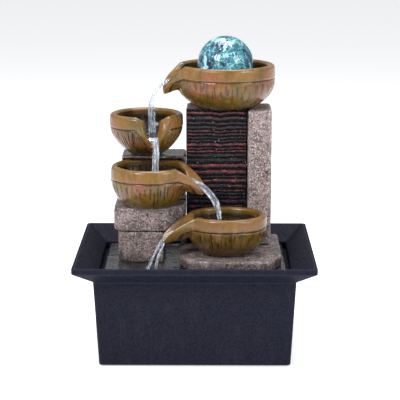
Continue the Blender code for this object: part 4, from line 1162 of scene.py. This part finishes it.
def globe(name, middle, radius, surface=None):
    """A fine sphere, each of its points moved by a function of where it is."""
    shape = bmesh.new()
    bmesh.ops.create_icosphere(shape, subdivisions=6, radius=radius)
    for vertex in shape.verts if surface else ():
        vertex.co = surface(vertex.co)
    made = shaped(name, shape)
    made.data.transform(Matrix.Translation(middle))
    return made


def make_ball():
    low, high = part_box("glass_ball")
    middle, radius = (low + high) / 2, (high.z - low.z) / 2

    def crackled(point):
        out = point.normalized()
        facet = noise.voronoi(point / CRACKLE_CELL)[0]
        crack = min(facet[1] - facet[0], 0.25)
        return out * (radius - CRACKLE_INSET + CRACKLE_RELIEF * crack
                      + 0.5 * MM * rough(point, 9 * MM))

    shell = globe("ball_shell", middle, radius - 0.05 * MM)
    settle(shell, "ball", "crackle_glass", ball_shell(), "glass_ball")
    core = globe("ball_crackle", middle, radius - 1.4 * MM, crackled)
    settle(core, "ball", "crackle_glass", crackle_glass())


def make_fittings():
    coat(clear_plastic(), "ball_cup", "light_lens", "hose")
    coat(black_plastic(), "light_ring", "nozzle", "light_plug", "light_socket", "pump_housing",
         "chamber_plate", "pump_cover", "flow_knob")
    coat(rubber(), "light_lead", "pump_lead", *[f"suction_cup_{i}" for i in range(1, 5)])
    coat(filter_foam(), "filter_foam")
    coat(pale_moulding("Pump shaft", (0.82, 0.82, 0.80), 0.25), "pump_shaft")
    coat(pale_moulding("Magnet plastic", (0.70, 0.70, 0.66), 0.35), "impeller")


# ---- Water ----


def inside_at(bowl, offset, z):
    """The point on the bowl's inner face at a height, or on its lip where the face ends lower."""
    slice_points = [p for p in bowl_profile(bowl, offset, 8, 8, 24) if p[0] == "inner"][::-1]
    angle = bowl.spout_angle + offset
    for a, b in zip(slice_points, slice_points[1:]):
        if a[2] <= z <= b[2]:
            t = (z - a[2]) / max(b[2] - a[2], 1e-9)
            return Vector(bowl_point(bowl, angle, mix(a[1], b[1], t), z, mix(a[3], b[3], t)))
    last = slice_points[-1] if z > slice_points[-1][2] else slice_points[0]
    return Vector(bowl_point(bowl, angle, last[1], z, last[3]))


def make_pool(bowl, hits):
    """The water standing in a bowl, with rings spreading from where a stream lands."""
    use = bpy.context.scene.fountain.water
    level = WATER_LEVEL[bowl.node]
    samples, steps = 120, 26
    centre = Vector((*bowl.centre, 0))
    hole = None
    if bowl.node == "top_bowl":
        low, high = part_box("glass_ball")
        hole = ((low + high) / 2, (high.z - low.z) / 2 + 0.35 * MM)
    below = [0.0, 0.12, 0.3, 0.5, 0.7, 0.88, 1.0]
    depth = 8 * MM if hole else level - bowl.floor_z + 0.3 * MM

    def surface(point):
        lift = 0.12 * use.ripple * rough(point, 6 * MM)
        for hit in hits:
            far = (Vector(point[:2]) - Vector(hit)).length
            lift += use.ripple * math.cos(far / (0.95 * MM)) * math.exp(-far / (6.5 * MM))
        return lift

    columns = []
    for k in range(samples):
        offset = 2 * math.pi * k / samples - math.pi
        edges = [inside_at(bowl, offset, level - depth * b) for b in below]
        edges = [e + (e - centre).to_2d().to_3d().normalized() * 0.35 * MM for e in edges]
        angle = bowl.spout_angle + offset
        column = []

        def start(z):
            if not hole:
                return Vector((*bowl.centre, z))
            r = math.sqrt(max(hole[1] ** 2 - (z - hole[0].z) ** 2, (2 * MM) ** 2))
            return Vector((hole[0].x + r * math.cos(angle), hole[0].y + r * math.sin(angle), z))

        for i in range(1 if not hole else 0, steps + 1):
            at = start(level).lerp(edges[0], i / steps)
            column.append((at.x, at.y, level + surface(at)))
        column += [tuple(e) for e in edges[1:]]
        if hole:
            column += [tuple(start(level - depth * b)) for b in below[:0:-1]]
        columns.append(column)
    size = len(columns[0])
    points = [p for c in columns for p in c]
    faces = []
    for k in range(samples):
        a, b = k * size, (k + 1) % samples * size
        last = size if hole else size - 1
        faces += [(a + j, b + j, b + (j + 1) % size, a + (j + 1) % size) for j in range(last)]
    if not hole:
        for j, z in ((0, level + surface((*bowl.centre, 0))), (size - 1, columns[0][-1][2])):
            points.append((*bowl.centre, z))
            hub = len(points) - 1
            faces += [(k * size + j, (k + 1) % samples * size + j, hub) for k in range(samples)]
    pool = face_out(thing_of(bowl.node + "_water", points, faces))
    settle(pool, "rockery", "water", water())


def make_pour(name, left, right, ridges, thick, thin, seed):
    """A falling sheet between two edge lines, with thicker threads of water running down it."""
    steps, across = 90, 40
    left, right = (smooth_line([[c * MM for c in p] for p in line], steps)
                   for line in (left, right))
    rings, foam = [], []
    for i in range(steps):
        a, b = left[i], right[i]
        down = (left[min(i + 1, steps - 1)] + right[min(i + 1, steps - 1)]
                - left[max(i - 1, 0)] - right[max(i - 1, 0)]).normalized()
        side = (b - a).normalized()
        face = side.cross(down).normalized()
        down_share = i / (steps - 1)
        front, back, whites = [], [], []
        for j in range(across + 1):
            s = j / across
            drift = 0.5 * rough((down_share * 0.055, seed, 0), 9 * MM, seed)
            threads = 0.5 + 0.5 * math.cos(2 * math.pi * (s * ridges + drift))
            beads = 0.75 + 0.45 * rough((s * 8 * MM, down_share * 34 * MM, 0), 4.2 * MM, seed)
            half = (thin + (thick - thin) * threads ** 2 * beads) / 2 * MM
            half *= math.sqrt(max(1 - (2 * s - 1) ** 2, 0.0)) ** 0.6 if 0 < j < across else 0.0
            at = a.lerp(b, s)
            at += side * 0.35 * MM * rough((s * 9 * MM, 30 * MM * down_share, 0), 5 * MM, seed + 5)
            at += face * 0.5 * MM * rough((s * 5 * MM, 40 * MM * down_share, 0), 7 * MM, seed + 2)
            front.append(tuple(at + face * half))
            back.append(tuple(at - face * half))
            # The foam mask whitens the thicker threads and drives their painted glow
            whites.append(min(1.0, threads ** 2 * beads))
        rings.append(front + back[-2:0:-1])
        foam += whites + whites[-2:0:-1]
    points, faces = skin(rings)
    return face_out(thing_of(name, points, faces, {"foam": foam + [0.3, 0.3]}))


# Each stream: its name, the line of each edge in millimetres, then its number of threads, the
# thickness of a thread and of the sheet between them in millimetres, and a seed.
STREAMS = (
    ("top_stream",
     [(-13, 35.6, 243.0), (-21, 34.8, 240.8), (-28, 34.4, 238.2), (-34.0, 34.6, 233.0),
      (-37.4, 36.6, 225.0), (-38.0, 40.6, 213.0), (-37.6, 44.0, 200), (-37.2, 46.0, 189.2)],
     [(-15, 28.2, 243.0), (-23, 27.4, 239.8), (-30, 27.6, 236.4), (-36.2, 28.6, 230.0),
      (-41.0, 31.8, 221.0), (-43.2, 36.0, 210.0), (-43.2, 39.6, 199), (-42.8, 41.0, 189.2)],
     3.3, 3.2, 0.9, 1.3),
    ("notch_stream",
     [(-40.8, 9, 190.0), (-39.4, 4.6, 188.2), (-38.2, 1.2, 184.6), (-38.0, -1.6, 179.0),
      (-38.4, -3.6, 170.0), (-38.9, -5.0, 154.8)],
     [(-33.4, 9.4, 190.0), (-33.0, 5.4, 188.2), (-32.4, 2.4, 184.6), (-32.2, -1.0, 179.0),
      (-32.6, -3.6, 170.0), (-32.6, -5.2, 154.8)],
     2.4, 3.4, 1.0, 4.1),
    ("middle_stream",
     [(-9.0, 3.6, 156.4), (-2.0, 1.2, 155.2), (4.4, -1.4, 152.4), (11.6, -3.4, 147.4),
      (17.6, -4.2, 141.0), (21.6, -4.6, 133.4), (23.4, -4.8, 119.2)],
     [(-10.0, -10.2, 155.6), (-2.4, -10.8, 152.4), (4.0, -11.2, 149.2), (9.2, -11.0, 144.6),
      (13.8, -10.2, 138.0), (17.4, -9.0, 130.4), (20.2, -7.6, 119.2)],
     1.0, 2.2, 0.35, 7.7),
    ("lower_stream_left",
     [(-20, -21.4, 112.4), (-25.0, -23.4, 109.6), (-29.2, -25.0, 106.0), (-33.8, -27.4, 99.6),
      (-38.2, -29.8, 91.0), (-41.6, -31.4, 84.0), (-44.0, -32.2, 79.7)],
     [(-19, -23.6, 112.2), (-24.2, -25.0, 109.0), (-28.2, -26.2, 104.8), (-32.4, -28.2, 97.8),
      (-36.4, -30.4, 89.4), (-39.2, -31.8, 83.4), (-41.0, -32.6, 79.7)],
     1.6, 2.6, 0.8, 2.9),
    ("lower_stream_right",
     [(-19, -23.8, 112.0), (-24.0, -25.2, 108.8), (-27.6, -26.2, 104.0), (-31.0, -28.0, 96.6),
      (-34.2, -30.0, 88.2), (-36.2, -31.2, 79.7)],
     [(-18, -25.6, 111.8), (-22.8, -27.0, 108.6), (-26.6, -27.8, 103.4), (-29.6, -29.2, 96.0),
      (-32.2, -31.0, 88.0), (-33.4, -32.4, 79.7)],
     1.2, 2.6, 0.8, 5.3),
)


def make_drops(name, places, radii):
    """Many small drops as one mesh."""
    shape = bmesh.new()
    for place, radius in zip(places, radii):
        turn = Matrix.Translation(place) @ Matrix.Diagonal((radius, radius * 0.8, radius * 1.25, 1))
        bmesh.ops.create_icosphere(shape, subdivisions=2, radius=1.0, matrix=turn)
    return shaped(name, shape)


def make_water():
    make_pool(BOWLS["top_bowl"], [])
    make_pool(BOWLS["notched_bowl"], [(-40 * MM, 43 * MM)])
    make_pool(BOWLS["middle_bowl"], [(-36 * MM, -5.5 * MM)])
    make_pool(BOWLS["lower_bowl"], [(21.5 * MM, -5 * MM)])

    for name, left, right, *shape in STREAMS:
        pour = make_pour(name, left, right, *shape)
        settle(pour, "rockery", "water", falling_water())

    low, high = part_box("slate_panel")
    pick = random.Random(5)
    count = bpy.context.scene.fountain.slate.drops
    places = [(mix(low.x, high.x, pick.random() ** 0.6), low.y + pick.uniform(0.3, 1.2) * MM,
               mix(low.z + 3 * MM, high.z - 2 * MM, pick.random())) for _ in range(count)]
    drops = make_drops("slate_drops", places, [pick.uniform(0.22, 0.6) * MM for _ in places])
    settle(drops, "rockery", "water", water())

    splash = []
    for x, y, z, spread, amount in ((-38, -32.5, 80.2, 5.5, 26), (-36, -5.5, 156.6, 3.4, 14),
                                    (-40.2, 43.4, 191.0, 3.6, 16), (21.6, -5.6, 120.6, 3.4, 14)):
        for _ in range(amount):
            angle, far = pick.uniform(0, 2 * math.pi), spread * pick.uniform(0.35, 1.0)
            splash.append((Vector((x + far * math.cos(angle), y + far * math.sin(angle),
                                   z + 2.4 * pick.random() ** 2)) * MM))
    beads = make_drops("splash_drops", splash, [pick.uniform(0.2, 0.55) * MM for _ in splash])
    settle(beads, "rockery", "water", water())

    make_film()


def make_film():
    """The thin water that runs over the plate."""
    use = bpy.context.scene.fountain.water
    low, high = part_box("base_plate")
    across, along = 110, 86
    top = high.z + 0.1 * MM
    inset = 0.7 * MM
    points = []
    for j in range(along + 1):
        for i in range(across + 1):
            x = mix(low.x + inset, high.x - inset, i / across)
            y = mix(low.y + inset, high.y - inset, j / along)
            edge = min(x - low.x - inset, high.x - inset - x, y - low.y - inset, high.y - inset - y)
            waves = 0.7 * rough((x, y, 0), 9 * MM) + 0.3 * rough((x, y, 0), 3 * MM)
            rise = use.film * (0.8 + waves)
            far = math.hypot(x - PLATE_LANDING[0], y - PLATE_LANDING[1])
            rise += use.ripple * math.cos(far / (0.9 * MM)) * math.exp(-far / (5 * MM))
            points.append((x, y, top + max(rise, 0.04 * MM) * ramp(edge, -0.5 * MM, 2 * MM)))
    under = top - 0.9 * MM
    faces = backed_sheet(points, across, along, lambda x, y, _: (x, y, under), (0, 0, under))
    film = face_out(thing_of("plate_film", points, faces))
    settle(film, "rockery", "water", water())


# ---- Studio ----


def softbox(name, place, target, size, power, tone):
    light = bpy.data.lights.new(name, "AREA")
    light.shape, light.size, light.size_y = "RECTANGLE", *size
    light.energy, light.color = power, tone
    lamp = bpy.data.objects.new(name, light)
    lamp.location = place
    lamp.rotation_euler = (Vector(target) - Vector(place)).to_track_quat("-Z", "Y").to_euler()
    bpy.context.scene.collection.objects.link(lamp)


def make_stage():
    use = bpy.context.scene.fountain.studio

    def wire(tree, shader):
        place = own_place(tree)
        paper = cloudy(tree, place, 12.0, 3.0)
        pale = mixed(tree, paper.outputs[0], use.floor, [0.985 * c for c in use.floor])
        return {"Base Color": pale}
    floor_finish = finish("Studio floor", wire, Roughness=0.85, Specular_IOR_Level=0.1,
                          Emission_Color=(1, 1, 1, 1), Emission_Strength=FLOOR_GLOW)

    rings = []
    for r in (0.02, 0.2, 0.6, 1.5, 4.0, 9.0):
        rings.append([(r * math.cos(a * math.pi / 36), r * math.sin(a * math.pi / 36), 0)
                      for a in range(72)])
    points = [p for ring in rings for p in ring] + [(0, 0, 0)]
    faces = [(n * 72 + k, (n + 1) * 72 + k, (n + 1) * 72 + (k + 1) % 72, n * 72 + (k + 1) % 72)
             for n in range(len(rings) - 1) for k in range(72)]
    faces += [(k, (k + 1) % 72, len(points) - 1) for k in range(72)]
    floor = thing_of("studio_floor", points, faces, smooth=False)
    floor.data.materials.append(floor_finish)

    scene = bpy.context.scene
    world = bpy.data.worlds.new("Studio")
    world.use_nodes = True
    back = world.node_tree.nodes["Background"]
    back.inputs["Color"].default_value = (0.95, 0.97, 1.0, 1)
    back.inputs["Strength"].default_value = use.ambient
    scene.world = world
    scene.view_settings.view_transform = "Standard"

    target = (0, 0, 0.13)
    softbox("key_softbox", (-0.75, -0.95, 0.95), target, (0.55, 0.55), use.key, (1.0, 0.98, 0.95))
    softbox("fill_softbox", (0.95, -0.75, 0.70), target, (0.5, 0.7), 0.55 * use.key,
            (0.92, 0.96, 1.0))
    softbox("top_softbox", (0.05, 0.25, 1.25), target, (0.8, 0.5), 0.8 * use.key, (0.95, 0.97, 1.0))

    lens = bpy.data.cameras.new("Camera")
    lens.lens, lens.sensor_width = use.focal, 36
    lens.clip_start = 0.01
    camera = bpy.data.objects.new("Camera", lens)
    camera.location = CAMERA_PLACE
    camera.rotation_euler = (math.radians(CAMERA_TILT), 0, math.radians(CAMERA_TURN))
    scene.collection.objects.link(camera)
    scene.camera = camera


# ---- Operators and panel ----


class Building:
    """What the operators share: each runs the function that it holds."""

    def execute(self, context):
        self.make()
        return {"FINISHED"}


class FOUNTAIN_OT_basin(Building, bpy.types.Operator):
    """Build the moulded basin with its feet and power inlet"""
    bl_idname = "fountain.basin"
    bl_label = "Basin"
    make = staticmethod(make_basin)


class FOUNTAIN_OT_stonework(Building, bpy.types.Operator):
    """Build the cast stone slabs, blocks, column and pillar"""
    bl_idname = "fountain.stonework"
    bl_label = "Stonework"
    make = staticmethod(make_stonework)


class FOUNTAIN_OT_slate(Building, bpy.types.Operator):
    """Build the stacked slate panel"""
    bl_idname = "fountain.slate"
    bl_label = "Slate panel"
    make = staticmethod(make_slate)


class FOUNTAIN_OT_bowls(Building, bpy.types.Operator):
    """Build the four glazed bowls with their carving"""
    bl_idname = "fountain.bowls"
    bl_label = "Bowls"
    make = staticmethod(make_bowls)


class FOUNTAIN_OT_ball(Building, bpy.types.Operator):
    """Build the crackle glass ball"""
    bl_idname = "fountain.ball"
    bl_label = "Glass ball"
    make = staticmethod(make_ball)


class FOUNTAIN_OT_fittings(Building, bpy.types.Operator):
    """Finish the light, hose, leads and pump"""
    bl_idname = "fountain.fittings"
    bl_label = "Light and pump"
    make = staticmethod(make_fittings)


class FOUNTAIN_OT_water(Building, bpy.types.Operator):
    """Fill the bowls and pour the streams between them"""
    bl_idname = "fountain.water"
    bl_label = "Water"
    make = staticmethod(make_water)


class FOUNTAIN_OT_stage(Building, bpy.types.Operator):
    """Set the studio floor, lights and camera"""
    bl_idname = "fountain.stage"
    bl_label = "Studio"
    make = staticmethod(make_stage)


OPERATORS = (FOUNTAIN_OT_stage, FOUNTAIN_OT_basin, FOUNTAIN_OT_stonework, FOUNTAIN_OT_slate,
             FOUNTAIN_OT_bowls, FOUNTAIN_OT_ball, FOUNTAIN_OT_fittings, FOUNTAIN_OT_water)


class FOUNTAIN_PT_panel(bpy.types.Panel):
    """The fountain's pieces and settings"""
    bl_idname = "FOUNTAIN_PT_panel"
    bl_label = "Tabletop Fountain"
    bl_space_type = "VIEW_3D"
    bl_region_type = "UI"
    bl_category = "Fountain"

    def draw(self, context):
        for operator in OPERATORS:
            self.layout.operator(operator.bl_idname)
        settings = context.scene.fountain
        for name in settings.bl_rna.properties.keys():
            part = getattr(settings, name)
            if isinstance(part, bpy.types.PropertyGroup):
                box = self.layout.box()
                box.label(text=settings.bl_rna.properties[name].name)
                for value in part.bl_rna.properties.keys():
                    if value not in ("rna_type", "name"):
                        box.prop(part, value)


CLASSES = (BasinSettings, StoneSettings, SlateSettings, BowlSettings, BallSettings, WaterSettings,
           StudioSettings, FountainSettings, *OPERATORS, FOUNTAIN_PT_panel)


def register():
    for kind in CLASSES:
        bpy.utils.register_class(kind)
    bpy.types.Scene.fountain = PointerProperty(type=FountainSettings, name="Fountain",
                                               description="The fountain's settings")


def unregister():
    del bpy.types.Scene.fountain
    for kind in reversed(CLASSES):
        bpy.utils.unregister_class(kind)


def main():
    register()
    for operator in OPERATORS:
        group_name, name = operator.bl_idname.split(".")
        getattr(getattr(bpy.ops, group_name), name)()
    bpy.context.view_layer.update()


if __name__ == "__main__":
    main()
